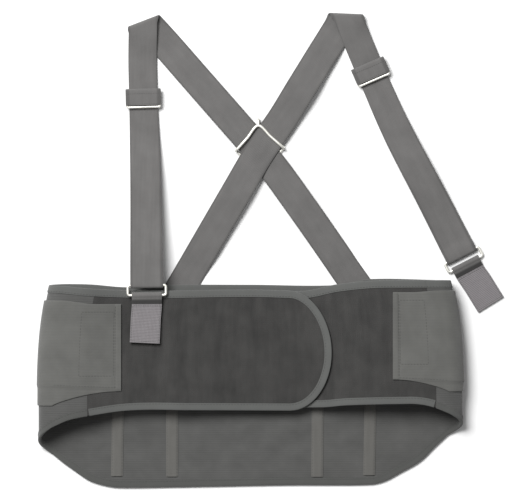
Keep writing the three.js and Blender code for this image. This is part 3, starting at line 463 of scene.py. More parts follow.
def wires(name, paths, node):
    """Round wires as one piece: each path is (points, diameter, up, closed)."""
    points, faces = [], []
    start = 0
    for path, diameter, up, closed in paths:
        grid = tube_grid(path, diameter / 2, up, closed)
        rows, columns = grid.shape[:2]
        made = skin_faces(rows, columns, start)
        if closed:
            made = made[:-2]
            last = start + (rows - 1) * columns
            made += [
                (last + j, last + (j + 1) % columns, start + (j + 1) % columns, start + j)
                for j in range(columns)
            ]
        points.append(grid.reshape(-1, 3))
        faces += made
        start += rows * columns
    points = np.concatenate(points)
    obj = add_mesh(name, points, facing_out(points, faces), METAL)
    finish_piece(obj, "metal", node)


def smooth_path(points, spacing, closed=False):
    """Evenly spaced points on a centripetal curve: (middles, directions, runs)."""
    points = np.asarray(points, float)
    count = len(points)
    if closed:
        wide = join(points[-1:], points, points[:2])
        segments = count
    else:
        wide = join(2 * points[:1] - points[1:2], points, 2 * points[-1:] - points[-2:-1])
        segments = count - 1
    t = np.linspace(0, 1, 33)[:-1, None]
    curve = []
    for k in range(segments):
        p0, p1, p2, p3 = wide[k:k + 4]
        pairs = ((p0, p1), (p1, p2), (p2, p3))
        d0, d1, d2 = [max(np.linalg.norm(b - a) ** 0.5, 1e-4) for a, b in pairs]
        t1 = ((p1 - p0) / d0 - (p2 - p0) / (d0 + d1) + (p2 - p1) / d1) * d1
        t2 = ((p2 - p1) / d1 - (p3 - p1) / (d1 + d2) + (p3 - p2) / d2) * d1
        curve.append(p1 + t1 * t + (3 * (p2 - p1) - 2 * t1 - t2) * t**2 + (2 * (p1 - p2) + t1 + t2) * t**3)
    curve.append(wide[segments + 1][None, :])
    curve = np.concatenate(curve)
    run = run_of(curve)
    number = max(2, round(run[-1] / spacing))
    runs = np.linspace(0, run[-1], number + 1)
    middles = np.stack([np.interp(runs, run, curve[:, k]) for k in range(curve.shape[1])], axis=1)
    directions = unit(np.gradient(middles, axis=0))
    if closed:
        return middles[:-1], directions[:-1], runs[:-1]
    return middles, directions, runs


# A stitch's sections: place along it in lengths, size in radii and rise in radii.
STITCH_RINGS = ((-0.5, 0.45, -0.6), (-0.28, 1.0, 0.2), (0.28, 1.0, 0.2), (0.5, 0.45, -0.6))


def stitch_row(points, normals, pitch, length, radius):
    """Points and faces of a row of stitches along a path on a surface."""
    run = run_of(points)
    centres = np.arange(pitch / 2, run[-1] - pitch / 4, pitch)

    def pick(values, at):
        return np.stack([np.interp(at, run, values[:, k]) for k in range(3)], axis=1)

    middle = pick(points, centres)
    ahead = unit(pick(points, centres + 0.4) - pick(points, centres - 0.4))
    up = unit(pick(normals, centres))
    aside = unit(np.cross(ahead, up))
    sides = 6
    around = circle(aside, up, 2 * np.pi * np.arange(sides) / sides)
    made, faces = [], []
    for place, size, rise in STITCH_RINGS:
        centre = middle + ahead * (place * length) + up * (rise * radius)
        made.append(centre[:, None] + radius * size * around)
    grid = np.stack(made, axis=1)
    for k in range(len(grid)):
        faces += skin_faces(len(made), sides, k * len(made) * sides)
    return grid.reshape(-1, 3), faces


def add_stitches(name, rows, slot, pitch=3.4, length=2.5, radius=0.3):
    """Several rows of stitches as one piece."""
    points, faces, start = [], [], 0
    for row_points, row_normals in rows:
        made, shape = stitch_row(row_points, row_normals, pitch, length, radius)
        points.append(made)
        faces += [tuple(start + k for k in f) for f in shape]
        start += len(made)
    points = np.concatenate(points)
    obj = add_mesh(name, points, facing_out(points, faces), THREAD, None, 60)
    return finish_piece(obj, slot)


def on_loop(q, y, d):
    """A row for stitches over the loop: its points and normals."""
    q, y, d = spread(q, y, d)
    return loop(q, y, d), loop_normal(q, y, d)


def level_row(points, height):
    """A row for stitches on a level surface: its points and normals."""
    return raised(points, height), np.tile([0.0, 0.0, 1.0], (len(points), 1))


# Materials.


class Tree:
    """A short way to write a material's nodes."""

    def __init__(self, name):
        self.material = bpy.data.materials.new(name)
        self.material.use_nodes = True
        self.nodes = self.material.node_tree.nodes
        self.links = self.material.node_tree.links
        self.shader = self.nodes["Principled BSDF"]

    def add(self, kind, settings=None, **inputs):
        node = self.nodes.new(kind)
        for key, value in (settings or {}).items():
            setattr(node, key, value)
        for key, value in inputs.items():
            socket = node.inputs[int(key[1:])] if key[0] == "i" and key[1:].isdigit() else node.inputs[key]
            if isinstance(value, bpy.types.NodeSocket):
                self.links.new(value, socket)
            else:
                socket.default_value = value
        return node

    def blend(self, factor, a, b):
        """A mix of two colours, put on the shader's colour too."""
        mixed = self.add("ShaderNodeMix", {"data_type": "RGBA"}, Factor=factor, i6=a, i7=b).outputs[2]
        self.links.new(mixed, self.shader.inputs["Base Color"])
        return mixed

    def bump(self, height, strength, distance):
        relief = self.add("ShaderNodeBump", Height=height, Strength=strength, Distance=distance * MM)
        self.links.new(relief.outputs[0], self.shader.inputs["Normal"])

    def math(self, operation, a, b=0.0, c=0.0):
        return self.add("ShaderNodeMath", {"operation": operation}, i0=a, i1=b, i2=c).outputs[0]

    def set(self, **values):
        for key, value in values.items():
            self.shader.inputs[key.replace("_", " ")].default_value = value

    def noise(self, vector, scale, detail=2.0, roughness=0.5):
        settings = {"Vector": vector, "Scale": scale, "Detail": detail, "Roughness": roughness}
        return self.add("ShaderNodeTexNoise", **settings).outputs[0]

    def stretched(self, vector, x, y):
        return self.add("ShaderNodeMapping", Vector=vector, Scale=(x, y, 1.0)).outputs[0]


def tinted(color, amount):
    """A colour made darker or lighter by a factor."""
    return tuple(min(c * amount, 1.0) for c in color) + (1.0,)


def cloth_material(name, color, ribs, depth, streak, contrast, sheen=0.15, fuzz=0.0, mottle=0.2,
                   painted_shade=None, edge_darkening=None):
    """Woven or brushed cloth.

    ribs are periods in millimetres across u and v with their weights, and mottle is the depth
    of broad uneven patches. painted_shade darkens the cloth where v is under its first value, fading
    out at its second, by its third: painted shade for a crease that lies in shadow. edge_darkening
    darkens it where u is past its first value, fully at its second, by its third.
    """
    tree = Tree(name)
    uv = tree.add("ShaderNodeTexCoord").outputs["UV"]
    spots = tree.add("ShaderNodeSeparateXYZ", Vector=uv).outputs
    waver = tree.noise(uv, 0.35, 1.0)
    height = None
    for socket, (period, weight) in zip(spots, ribs):
        turn = tree.math("MULTIPLY_ADD", waver, 1.6, tree.math("MULTIPLY", socket, 2 * math.pi / period))
        wave = tree.math("MULTIPLY", tree.math("SINE", turn), weight)
        height = wave if height is None else tree.math("ADD", height, wave)
    fibres = tree.noise(uv, 1.1, 3.0, 0.7)
    height = tree.math("MULTIPLY_ADD", fibres, 1.2 + fuzz, height)
    patches = tree.noise(tree.stretched(uv, *streak), 1.0, 3.0, 0.6)
    tone = tree.math("MULTIPLY_ADD", patches, contrast, 0.5 - contrast / 2)
    tone = tree.math("MULTIPLY_ADD", height, 0.1, tone)
    broad = tree.noise(uv, 0.045, 2.0, 0.55)
    tone = tree.math("MULTIPLY_ADD", broad, mottle, tree.math("SUBTRACT", tone, mottle / 2))
    # Darker towards the edges, as |u| grows.
    if edge_darkening:
        start, end, amount = edge_darkening
        reach = tree.math("ABSOLUTE", spots[0])
        edge = tree.add("ShaderNodeMapRange", i0=reach, i1=start, i2=end).outputs[0]
        tone = tree.math("MULTIPLY_ADD", edge, -amount, tone)
    blend = tree.blend(tone, tinted(color, 0.62), tinted(color, 1.32))
    # Painted shade: the cloth is darkened where v is low, standing in for a crease in shadow.
    if painted_shade:
        start, end, amount = painted_shade
        fade = tree.add("ShaderNodeMapRange", i0=spots[1], i1=start, i2=end).outputs[0]
        tree.blend(fade, tinted(color, 1 - amount), blend)
    tree.bump(height, 0.8, depth)
    tree.set(Roughness=0.9, Sheen_Weight=sheen, Sheen_Roughness=0.6)
    tree.shader.inputs["Specular IOR Level"].default_value = 0.25
    return tree.material


def metal_material(name, color, roughness):
    tree = Tree(name)
    spot = tree.add("ShaderNodeTexCoord").outputs["Object"]
    wear = tree.noise(spot, 260.0, 3.0, 0.6)
    rough = tree.math("MULTIPLY_ADD", wear, 0.25, roughness - 0.12)
    tree.links.new(rough, tree.shader.inputs["Roughness"])
    tree.blend(wear, tinted(color, 0.86), tinted(color, 1.0))
    tree.bump(wear, 0.15, 0.05)
    tree.set(Metallic=0.7)
    return tree.material


WEB_COLOR = (0.106, 0.103, 0.101)
WEB_RIBS = ((1.5, 0.5), (0.9, 0.5))
WEB_STREAK = (0.12, 0.012)
TAPE_RIBS = ((0.9, 0.4), (0.9, 0.4))
TAPE_STREAK = (0.04, 0.04)
# The webbing, and the slide bands made of it, are darker towards their edges.
WEBBING = cloth_material(
    "webbing", WEB_COLOR, WEB_RIBS, 0.16, WEB_STREAK, 0.4, mottle=0.5, edge_darkening=(14.6, 16.2, 0.35))
# The tab's webbing carries painted shade on its lap next to the hook patch, for the shadowed crease under
# the ring's bar.
TAB_WEBBING_PAINTED_SHADE = cloth_material("tabbing", WEB_COLOR, WEB_RIBS, 0.16, WEB_STREAK, 0.4, painted_shade=(4.0, 6.5, 0.75))
ELASTIC = cloth_material(
    "elastic", (0.088, 0.088, 0.083), ((1.3, 0.15), (1.7, 0.4)), 0.14, (0.03, 0.02), 0.4, mottle=0.6)
RIBBED = cloth_material(
    "ribbed", (0.063, 0.063, 0.061), ((1.4, 0.15), (2.5, 0.55)), 0.16, (0.022, 0.05), 0.6, mottle=0.7)
BRUSHED = cloth_material(
    "brushed", (0.0255, 0.0248, 0.0236), ((2.1, 0.1), (2.3, 0.1)), 0.45, (0.07, 0.012), 2.2,
    sheen=0.2, fuzz=1.6, mottle=1.4)
TAPE = cloth_material("tape", (0.080, 0.082, 0.079), TAPE_RIBS, 0.12, TAPE_STREAK, 0.25)
# The same tape as the other bindings, made darker: painted shade for the back's lower binding.
TAPE_IN_PAINTED_SHADE = cloth_material("hem", (0.061, 0.062, 0.059), TAPE_RIBS, 0.12, TAPE_STREAK, 0.25)
CHANNEL = cloth_material("channel", (0.091, 0.089, 0.083), ((0.8, 0.5), (1.6, 0.3)), 0.14, (0.1, 0.02), 0.4)
HOOKS = cloth_material(
    "hooks", (0.178, 0.167, 0.173), ((1.5, 0.6), (1.7, 0.6)), 0.4, (0.1, 0.1), 0.3, sheen=0.1)
THREAD = cloth_material("thread", (0.05, 0.05, 0.048), ((0.6, 0.3), (0.6, 0.3)), 0.05, (0.2, 0.2), 0.2)
METAL = metal_material("plated_wire", (0.86, 0.85, 0.79), 0.42)


def finish_piece(obj, slot, *nodes):
    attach(obj, "root")
    if nodes:
        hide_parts(*nodes)
    return obj


# The belt's loop.


def body_columns():
    left = front_q(-1, LEFT_SEAM * HALF)
    right = front_q(1, RIGHT_SEAM * HALF)
    front_left = np.linspace(left, -(FLAT + FOLD), 12)[:-1]
    fold_left = np.linspace(-(FLAT + FOLD), -FLAT, FOLD_COLUMNS)[:-1]
    back = np.linspace(-FLAT, FLAT, BACK_COLUMNS)
    front_right = np.linspace(FLAT + FOLD, right, 6)
    fold_right = np.linspace(FLAT, FLAT + FOLD, FOLD_COLUMNS)[1:-1]
    return join(front_left, fold_left, back, fold_right, front_right)


def tape_grid(q, y, inward, low, high):
    """A C section of tape along an edge. inward is in the loop's plane, low and high its faces."""
    radius = (high - low) / 2
    middle = (high + low) / 2
    lines = np.linspace(1, 0, 4)[:-1]
    bend = np.linspace(0, np.pi, 9)

    def face(stand):
        return join(lines * BINDING_WIDTH, -np.sin(bend) * stand, lines[::-1] * BINDING_WIDTH)

    flat = np.ones(len(lines))
    outer_c = join(flat, np.cos(bend), -flat)
    u = join(face(BINDING_STAND), face(BINDING_STAND - BINDING_WALL)[::-1])
    reach = join(outer_c, outer_c[::-1])
    thick = join(np.zeros(len(outer_c)), -BINDING_WALL * outer_c[::-1])
    d = middle[:, None] + radius[:, None] * reach[None, :] + thick[None, :]
    q_all = q[:, None] + inward[:, :1] * u[None, :]
    y_all = y[:, None] + inward[:, 1:] * u[None, :]
    run = join([0], np.cumsum(np.hypot(np.diff(q), np.diff(y))))
    under_shift = 40
    across = u + under_shift * (reach < 0)
    uv = np.stack(np.broadcast_arrays(across[None, :], run[:, None]), axis=-1)
    return loop(q_all, y_all, d), uv, run[-1]


def add_tape(name, q, y, inward, under, over, material=TAPE, nodes=None):
    q, low, high = spread(q, under - BINDING_STAND, over + BINDING_STAND)
    grid, uv, length = tape_grid(q, y, inward, low, high)
    obj = finish_piece(add_skin(name, grid, uv, material, 50), "tape", *(nodes or [name]))
    place = BINDING_WIDTH - STITCH_INSET
    rows = []
    for face in (high, low):
        points, normals = on_loop(q + inward[:, 0] * place, y + inward[:, 1] * place, face)
        rows.append((points, normals if face is high else -normals))
    thread = add_stitches(name + "_stitches", rows, "tape")


def edge_inward(q, y, sign):
    """Directions square to an edge, plain vertical near and past the folds."""
    ahead = unit(np.stack([np.gradient(q), np.gradient(y)], axis=1))
    square = np.stack([-ahead[:, 1], ahead[:, 0]], axis=1) * sign
    square *= np.sign(square[:, 1:2] * sign)
    plain = np.array([[0.0, float(sign)]])
    near = share(FLAT - np.abs(q), BINDING_WIDTH, 4 * BINDING_WIDTH)[:, None]
    return unit(mix(plain, square, near))


def add_body():
    q = body_columns()
    top, bottom = body_edges(q)
    obj = slab("back_cloth", q, top, bottom, 0, PANEL_WALL, RIBBED, rows=60)
    finish_piece(obj, "ribbed", "back_panel")
    lengths = [f"back_binding_top_{name}" for name in ("left", "middle", "right")]
    add_tape("back_binding_top", q, down(top), edge_inward(q, down(top), -1), 0, PANEL_WALL,
             nodes=lengths)
    # The lower binding is drawn in the darker tape, which is painted shade.
    add_tape("back_binding_bottom", q, down(bottom), edge_inward(q, down(bottom), 1), 0, PANEL_WALL,
             TAPE_IN_PAINTED_SHADE)


def add_stays():
    for number, (top, bottom, short) in enumerate(STAYS, 1):
        tape = (BINDING_WIDTH + CLEARANCE) / BACK_HEIGHT
        end = float(along(BACK_BOTTOM, bottom)) - tape - short
        part = np.linspace(STAY_START, end, 60)
        centre = mix(top, bottom, share(part, STAY_START, end)) * HALF
        lane = np.linspace(-1, 1, STAY_LANES)
        pocket = np.clip((1 - np.abs(lane)) / 0.34, 0, 1)
        ridge = soft(pocket) * (1 - 0.16 * np.cos(lane * np.pi) ** 2)
        d_top = -CLEARANCE - mix(STAY_RIM, STAY_WALL, ridge)
        rim = [-CLEARANCE - STAY_RIM / 2]
        lane_all = join(lane, [1.02], lane[::-1], [-1.02])
        d_all = join(d_top, rim, np.full(STAY_LANES, -CLEARANCE), rim)
        q_all = centre[:, None] + lane_all[None, :] * STAY_WIDTH / 2
        y_all = np.broadcast_to(down(part)[:, None], q_all.shape)
        grid = loop(q_all, y_all, np.broadcast_to(d_all[None, :], q_all.shape))
        name = f"stay_channel_{number}"
        skin = add_skin(name, grid, np.stack([q_all, y_all], axis=-1), CHANNEL)
        obj = finish_piece(skin, "tape", f"stay_{number}")
        rows = []
        for sign in (-1, 1):
            points, normals = on_loop(centre + sign * STAY_WIDTH * 0.41, down(part), -CLEARANCE - 0.6)
            rows.append((points, -normals))
        thread = add_stitches(name + "_stitches", rows, "tape")


def left_over(x):
    climb = FRONT_WALL + CROSSOVER
    return climb * soft(share(x, RAMP[0] * HALF, RAMP[1] * HALF))


def front_outline(seam, rounded, top, bottom):
    """Columns of a front panel: places across, upper and lower edges, with its round end."""
    start, end = rounded[0] * HALF, rounded[1] * HALF
    straight = np.linspace(seam * HALF, start, 90)
    turn = np.radians(np.linspace(0, 88, 26))[1:]
    middle = float(along(top, rounded[0]) + along(bottom, rounded[0])) / 2
    half = float(along(bottom, rounded[0])) - middle
    x = join(straight, mix(start, end, np.sin(turn)))
    high = join(along(top, straight / HALF), middle - half * np.cos(turn))
    low = join(along(bottom, straight / HALF), middle + half * np.cos(turn))
    return x, high, low


def add_front(name, side, seam, rounded, top, bottom, climb):
    x, high, low = front_outline(seam, rounded, top, bottom)
    base = climb(x)
    q = front_q(side, x)
    obj = slab(f"front_cloth_{name}", q, high, low, base, base + FRONT_WALL, BRUSHED, rows=40)
    finish_piece(obj, "brushed", f"front_panel_{name}")
    edge_x = join(x, x[::-1])
    edge_y = join(down(high), down(low)[::-1])
    path, ahead, _ = smooth_path(np.stack([edge_x, edge_y], axis=1)[::2], 3.0)
    inward = np.stack([ahead[:, 1], -ahead[:, 0]], axis=1)
    centre = np.array([np.mean(x), np.mean(edge_y)])
    inward *= np.sign(((centre - path) * inward).sum(1).mean())
    base = climb(path[:, 0])
    q_path = front_q(side, path[:, 0])
    q_inward = np.stack([-inward[:, 0], inward[:, 1]], axis=1)
    add_tape(f"front_binding_{name}", q_path, path[:, 1], q_inward, base, base + FRONT_WALL)


def cinch_columns(pull):
    """Columns of a pull and how far each is along it: 0 to 1 at the back, 1 to 2 at the front."""
    side = pull["side"]
    end = side * pull["end"] * HALF
    back = np.linspace(CINCH_INNER * HALF / FLAT, 1, 40)
    fold = np.linspace(0, 1, FOLD_COLUMNS)[1:]
    front = np.linspace(side * FLAT, end, 44)[1:]
    q = join(side * back * FLAT, side * (FLAT + FOLD * fold), front_q(side, front))
    part = join(back, np.ones(len(fold)), 1 + share(side * front, FLAT, side * end))
    return q, part


def cinch_edges(pull, part):
    back_top = mix(pull["back_top"], pull["fold_top"], soft(share(part, 0.6, 1)))
    back_bottom = mix(pull["back_bottom"], pull["fold_bottom"], soft(share(part, 0.3, 1)))
    front_top = mix(pull["fold_top"], pull["end_top"], soft(share(part, 1, 1.6)))
    bend = np.sin(np.maximum(part - 1, 0) * np.pi / 2) ** 0.8
    front_bottom = mix(pull["fold_bottom"], pull["end_bottom"], bend)
    return np.where(part <= 1, back_top, front_top), np.where(part <= 1, back_bottom, front_bottom)


def add_cinch(name, pull):
    """The outer pull, stepped down to its lower layer, with a thick hem at the front end."""
    side = pull["side"]
    q, part = cinch_columns(pull)
    top, bottom = cinch_edges(pull, part)
    outer = PANEL_WALL + LIFT
    end_q = q[-1]
    end_x = pull["end"] * HALF

    def upright(q_at, y_at):
        """Shift that keeps the front end upright where the belt narrows."""
        at = share(side * q_at, FLAT + FOLD, side * end_q)
        return -side * end_x * (1 / narrowing(y_at) - 1) * at

    def relief(q_at, y_at):
        behind = np.abs(end_q - q_at)
        groove = GROOVE_DEPTH * np.exp(-((behind - GROOVE_AT) / GROOVE_WIDTH) ** 2)
        hem = HEM_RISE * (1 - soft(share(behind, *HEM_STEP))) - groove
        at = np.interp(side * q_at, side * q, part)
        line = down(mix(pull["hem_fold"], pull["hem_end"], np.clip(at - 1, 0, 1)))
        step = -LAYER_STEP * soft(share(line - y_at, 0.0, LAYER_EDGE)) * share(at, 0.9, 1.0)
        return hem * share(at, 1, 1.1) + step

    obj = slab(f"cinch_cloth_{name}", q, top, bottom, outer - CINCH_WALL, outer - 0.05, ELASTIC,
               rows=64, relief=relief, shift=upright)
    finish_piece(obj, "elastic", f"cinch_panel_{name}")
    rows = []

    def add_row(q_at, y_at):
        q_at = q_at + 0 * y_at
        rows.append(on_loop(q_at + upright(q_at, y_at), y_at, outer - 0.1))

    hem_y = np.linspace(down(top[-1]) - 2, down(bottom[-1]) + 2, 50)
    add_row(end_q - side * HEM_STITCH, hem_y)
    box_out, box_in = end_q - side * BOX_OUTER, end_q - side * BOX_INNER[name]
    box_top, box_bottom = down(top[-1]) - BOX_TOP, down(bottom[-1]) + BOX_BOTTOM
    corners = [(box_out, box_top), (box_in, box_top), (box_in, box_bottom), (box_out, box_bottom)]
    for (q0, y0), (q1, y1) in zip(corners, corners[1:] + corners[:1]):
        add_row(np.linspace(q0, q1, 30), np.linspace(y0, y1, 30))
    line_part = np.linspace(1.0, 1.98, 60)
    line_q = np.interp(line_part, part, q)
    line_y = down(mix(pull["hem_fold"], pull["hem_end"], line_part - 1)) + LAYER_STITCH
    add_row(line_q[1:], line_y[1:])
    thread = add_stitches(f"cinch_stitches_{name}", rows, "elastic", radius=0.24)


# Suspenders.


def plan(points):
    return np.asarray(points, float)[..., :2] * np.array([HALF, STRAP_RISE])


def quarter(v):
    return np.stack([-v[..., 1], v[..., 0]], axis=-1)


def raised(v, z):
    v = np.asarray(v, float)
    return np.concatenate([v, np.broadcast_to(np.asarray(z, float), v.shape[:-1])[..., None]], axis=-1)


def back_height(route, y):
    """Height of the webbing's middle along its back run."""
    up = y / STRAP_RISE
    ups, heights = route["back"][:, 1], route["back"][:, 2]
    k = np.clip(np.searchsorted(ups, up) - 1, 0, len(ups) - 2)
    t = soft(np.clip((up - ups[k]) / (ups[k + 1] - ups[k]), 0, 1))
    crossing = RIGHT_CROSS if route is RIGHT_ROUTE else LEFT_CROSS
    return mix(STRAP_WALL / 2, crossing, mix(heights[k], heights[k + 1], t))


def fold_of(route):
    """The slanting fold at the shoulder, where the webbing wraps half a cylinder."""
    spot = plan(route["shoulder"])
    arriving = unit(spot - plan(route["back"][-1]))
    leaving = unit(plan(route["front"][0]) - spot)
    axis = unit(arriving + leaving)
    outward = unit(arriving - axis * (arriving @ axis))
    drift = (arriving @ axis) / (arriving @ outward) * SHOULDER_RADIUS
    ruling = axis * (STRAP_WIDTH / 2 / (axis @ quarter(arriving)))
    start = spot - outward * (SHOULDER_RADIUS + STRAP_WALL / 2) - axis * (drift * math.pi / 2)
    end = start + axis * (drift * math.pi)
    return {"axis": axis, "outward": outward, "drift": drift, "ruling": ruling,
            "start": start, "end": end, "leaving": leaving}


def half_at(ahead, ruling, nearness, sign, width):
    square = quarter(ahead) * (sign * width[:, None] / 2)
    slant = (ahead @ ruling) * soft(nearness)
    return square + ahead * slant[:, None]


def front_path(route, spacing):
    fold = fold_of(route)
    return smooth_path(join(fold["end"][None, :], plan(route["front"])), spacing)


def strap_stations(route, ring, widths):
    """Stations of one suspender from the belt over the shoulder to the ring and back up."""
    fold = fold_of(route)
    floor = STRAP_WALL / 2
    back = join(plan(route["back"]), fold["start"][None, :])
    middle, ahead, run = smooth_path(back, 4.0)
    height = back_height(route, middle[:, 1])
    height[-1] = floor
    nearness = share(run, run[-1] - SKEW_LENGTH, run[-1])
    full = np.full(len(run), STRAP_WIDTH)
    middles = [raised(middle, height)]
    halves = [raised(half_at(ahead, fold["ruling"], nearness, 1, full), 0)]
    turn = np.linspace(0, np.pi, 17)[1:]
    drifted = fold["start"] + fold["axis"] * (fold["drift"] * turn)[:, None]
    bent = drifted + fold["outward"] * (SHOULDER_RADIUS * np.sin(turn))[:, None]
    middles.append(raised(bent, floor + SHOULDER_RADIUS * (1 - np.cos(turn))))
    halves.append(raised(np.broadcast_to(fold["ruling"], bent.shape), 0))
    sign = float(np.sign(quarter(fold["leaving"]) @ fold["ruling"]))
    loop_radius = RING_WIRE / 2 + CLEARANCE + STRAP_WALL / 2
    ring_top = ring["height"] + loop_radius
    middle, ahead, run = front_path(route, 4.0)
    middle, ahead, run = middle[1:], ahead[1:], run[1:]
    left = run[-1] - run
    settled = mix(floor + 2 * SHOULDER_RADIUS, floor + STRAP_PITCH, soft(share(run, 0, SETTLE_LENGTH)))
    height = mix(settled, ring_top, soft(1 - share(left, RING_HOLD, route["climb"])))
    height += FRONT_ARCH * np.sin(np.pi * share(run, ARCH_START, run[-1] - route["arch_end"])) ** 2
    width = STRAP_WIDTH * np.interp(run / run[-1], WIDTH_AT, widths)
    half = half_at(ahead, fold["ruling"], 1 - share(run, 0, SKEW_LENGTH), sign, width)
    middles.append(raised(middle, height))
    halves.append(raised(half, 0))
    bar, last = ring["bar"], ring["ahead"]
    turn = np.linspace(0, np.pi, 13)[1:]
    bent = bar + last * (loop_radius * np.sin(turn))[:, None]
    middles.append(raised(bent, ring["height"] + loop_radius * np.cos(turn)))
    halves.append(np.repeat(raised(half[-1:], 0), len(turn), axis=0))
    gap = mix(STRAP_PITCH, 2 * loop_radius, soft(1 - share(left, 0, RING_APPROACH)))
    keep = (middle[:, 1] < route["slide"] * STRAP_RISE) & (left > 1)
    middles.append(raised(middle[keep], (height - gap)[keep])[::-1])
    halves.append(raised(half[keep], 0)[::-1] * 0.985)
    middles, halves = np.concatenate(middles), np.concatenate(halves)
    return middles, halves, run_of(middles)


def add_strap(name, route, ring):
    middles, halves, runs = strap_stations(route, ring, FRONT_WIDTHS[name])
    obj = ribbon(f"webbing_{name}", middles, halves, runs, STRAP_WALL, WEBBING)
    finish_piece(obj, "webbing", f"strap_{name}")


def ring_of(route, height):
    last, before = plan(route["front"][-1]), plan(route["front"][-2])
    return {"bar": last, "ahead": unit(last - before), "height": height}


def frame_path(middle, ahead, width, height, diameter, bend):
    """Rounded rectangle in a level plane."""
    aside, ahead3 = raised(quarter(ahead), 0), raised(ahead, 0)
    x, y = width / 2 - diameter / 2 - bend, height / 2 - diameter / 2 - bend
    path = []
    for sx, sy, start in ((1, 1, 0), (-1, 1, 1), (-1, -1, 2), (1, -1, 3)):
        for k in range(9):
            turn = (start + k / 8) * math.pi / 2
            across, along_it = sx * x + bend * math.cos(turn), sy * y + bend * math.sin(turn)
            path.append(middle + aside * across + ahead3 * along_it)
    return np.array(path)


def add_slide(name, route):
    middle, ahead, _ = front_path(route, 2.0)
    k = int(np.argmax(middle[:, 1] < route["slide"] * STRAP_RISE))
    middle, ahead = middle[k], ahead[k]
    strap_top = STRAP_WALL + STRAP_PITCH
    centre = strap_top + 2 * CLEARANCE + BAND_WALL + SLIDE_WIRE / 2
    path = frame_path(raised(middle, centre), ahead, BAND_WIDTH, SLIDE_LENGTH, SLIDE_WIRE, SLIDE_BEND)
    wires(f"slide_wire_{name}", [(path, SLIDE_WIRE, (0, 0, 1), True)], f"adjuster_slide_{name}")
    turn_radius = SLIDE_WIRE / 2 + CLEARANCE + BAND_WALL / 2
    upper = -(SLIDE_LENGTH - SLIDE_WIRE) / 2
    lower_end = (SLIDE_LENGTH - SLIDE_WIRE) / 2 - SLIDE_WIRE / 2 - CLEARANCE
    turns = np.linspace(0, np.pi, 13)
    flat = np.array([lower_end, lower_end / 2, 0])
    level = np.full(len(flat), turn_radius)
    distance = join(flat, upper - turn_radius * np.sin(turns), flat[::-1])
    height = join(-level, -turn_radius * np.cos(turns), level)
    middles = raised(middle + ahead * distance[:, None], centre + height)
    halves = np.repeat(raised(quarter(ahead) * (BAND_WIDTH / 2), 0)[None, :], len(middles), axis=0)
    runs = run_of(middles)
    obj = ribbon(f"band_{name}", middles, halves, runs, BAND_WALL, WEBBING)
    finish_piece(obj, "webbing", f"slide_band_{name}")
    surface = centre + turn_radius + BAND_WALL / 2
    rows = []
    for at in (lower_end - 1.6, upper + 2.6):
        across = np.linspace(-0.46, 0.46, 30) * BAND_WIDTH
        rows.append(level_row(middle + ahead * at + quarter(ahead) * across[:, None], surface))
    thread = add_stitches(f"band_stitches_{name}", rows, "webbing", pitch=2.6, length=1.8, radius=0.22)


def add_ring_and_tab(name, ring):
    bar, ahead, bar_height = ring["bar"], ring["ahead"], ring["height"]
    bar_gap = RING_HEIGHT - RING_WIRE
    centre = raised(bar + ahead * (bar_gap / 2), bar_height)
    path = frame_path(centre, ahead, RING_WIDTH, RING_HEIGHT, RING_WIRE, RING_BEND)
    wires(f"ring_wire_{name}", [(path, RING_WIRE, (0, 0, 1), True)], f"ring_{name}")
    lower = bar + ahead * bar_gap
    tab_turn = RING_WIRE / 2 + CLEARANCE + TAB_WALL / 2
    flat_height = bar_height - tab_turn
    patch_start = TAB_LENGTH - PATCH_LENGTH

    def stations(distance, height):
        distance = np.asarray(distance, float)
        angle = TAB_DRIFT[name] * soft(share(distance, tab_turn, TAB_LENGTH / 2))
        cos, sin = np.cos(angle), np.sin(angle)
        turned = np.stack([ahead[0] * cos - ahead[1] * sin, ahead[0] * sin + ahead[1] * cos], axis=1)
        middles = raised(lower + turned * distance[:, None], height)
        return middles, raised(quarter(turned) * (TAB_WIDTH / 2), 0)

    turns = np.linspace(-np.pi / 4, np.pi, 16)
    out, up = -tab_turn * np.sin(turns), bar_height + tab_turn * np.cos(turns)
    lap = np.linspace(0, 1, 5)[:-1]
    lap_height = flat_height + TAB_WALL + CLEARANCE
    flat = np.linspace(0, TAB_LENGTH, 17)[1:]
    distance = join(mix(patch_start - CLEARANCE, out[0], lap), out, flat)
    height = join(mix(lap_height, up[0], lap), up, np.full(len(flat), flat_height))
    middles, halves = stations(distance, height)
    runs = run_of(middles)
    obj = ribbon(f"tab_{name}", middles, halves, runs, TAB_WALL, TAB_WEBBING_PAINTED_SHADE)
    finish_piece(obj, "webbing", f"tab_loop_{name}")
    patch_height = flat_height + TAB_WALL / 2 + CLEARANCE + PATCH_WALL / 2
    at = np.linspace(patch_start, TAB_LENGTH, 24)
    middles, halves = stations(at, np.full(len(at), patch_height))
    patch = ribbon(f"hooks_{name}", middles, halves, at, PATCH_WALL, HOOKS, lanes=13)
    finish_piece(patch, "hooks", f"hook_patch_{name}")
    rows = []
    surface = patch_height + PATCH_WALL / 2
    edge = 0.92
    for sign in (-1, 1):
        points = middles[:, :2] + halves[:, :2] * (sign * edge)
        rows.append(level_row(points[1:-1], surface))
    for k in (1, -2):
        points = middles[k, :2] + halves[k, :2] * np.linspace(-edge, edge, 20)[:, None]
        rows.append(level_row(points, surface))
    thread = add_stitches(f"hooks_stitches_{name}", rows, "hooks", pitch=2.6, length=1.9, radius=0.24)


def crossed(a, b):
    return a[0] * b[1] - a[1] * b[0]


def edges_meet(first, second):
    """Plan point where two webbing edges cross. Each is (from, to, side) of its middle line."""
    starts, aheads = [], []
    for start, end, sign in (first, second):
        ahead = unit(plan(end) - plan(start))
        starts.append(plan(start) + quarter(ahead) * (sign * STRAP_WIDTH / 2))
        aheads.append(ahead)
    reach = crossed(starts[1] - starts[0], aheads[1]) / crossed(aheads[0], aheads[1])
    return starts[0] + aheads[0] * reach


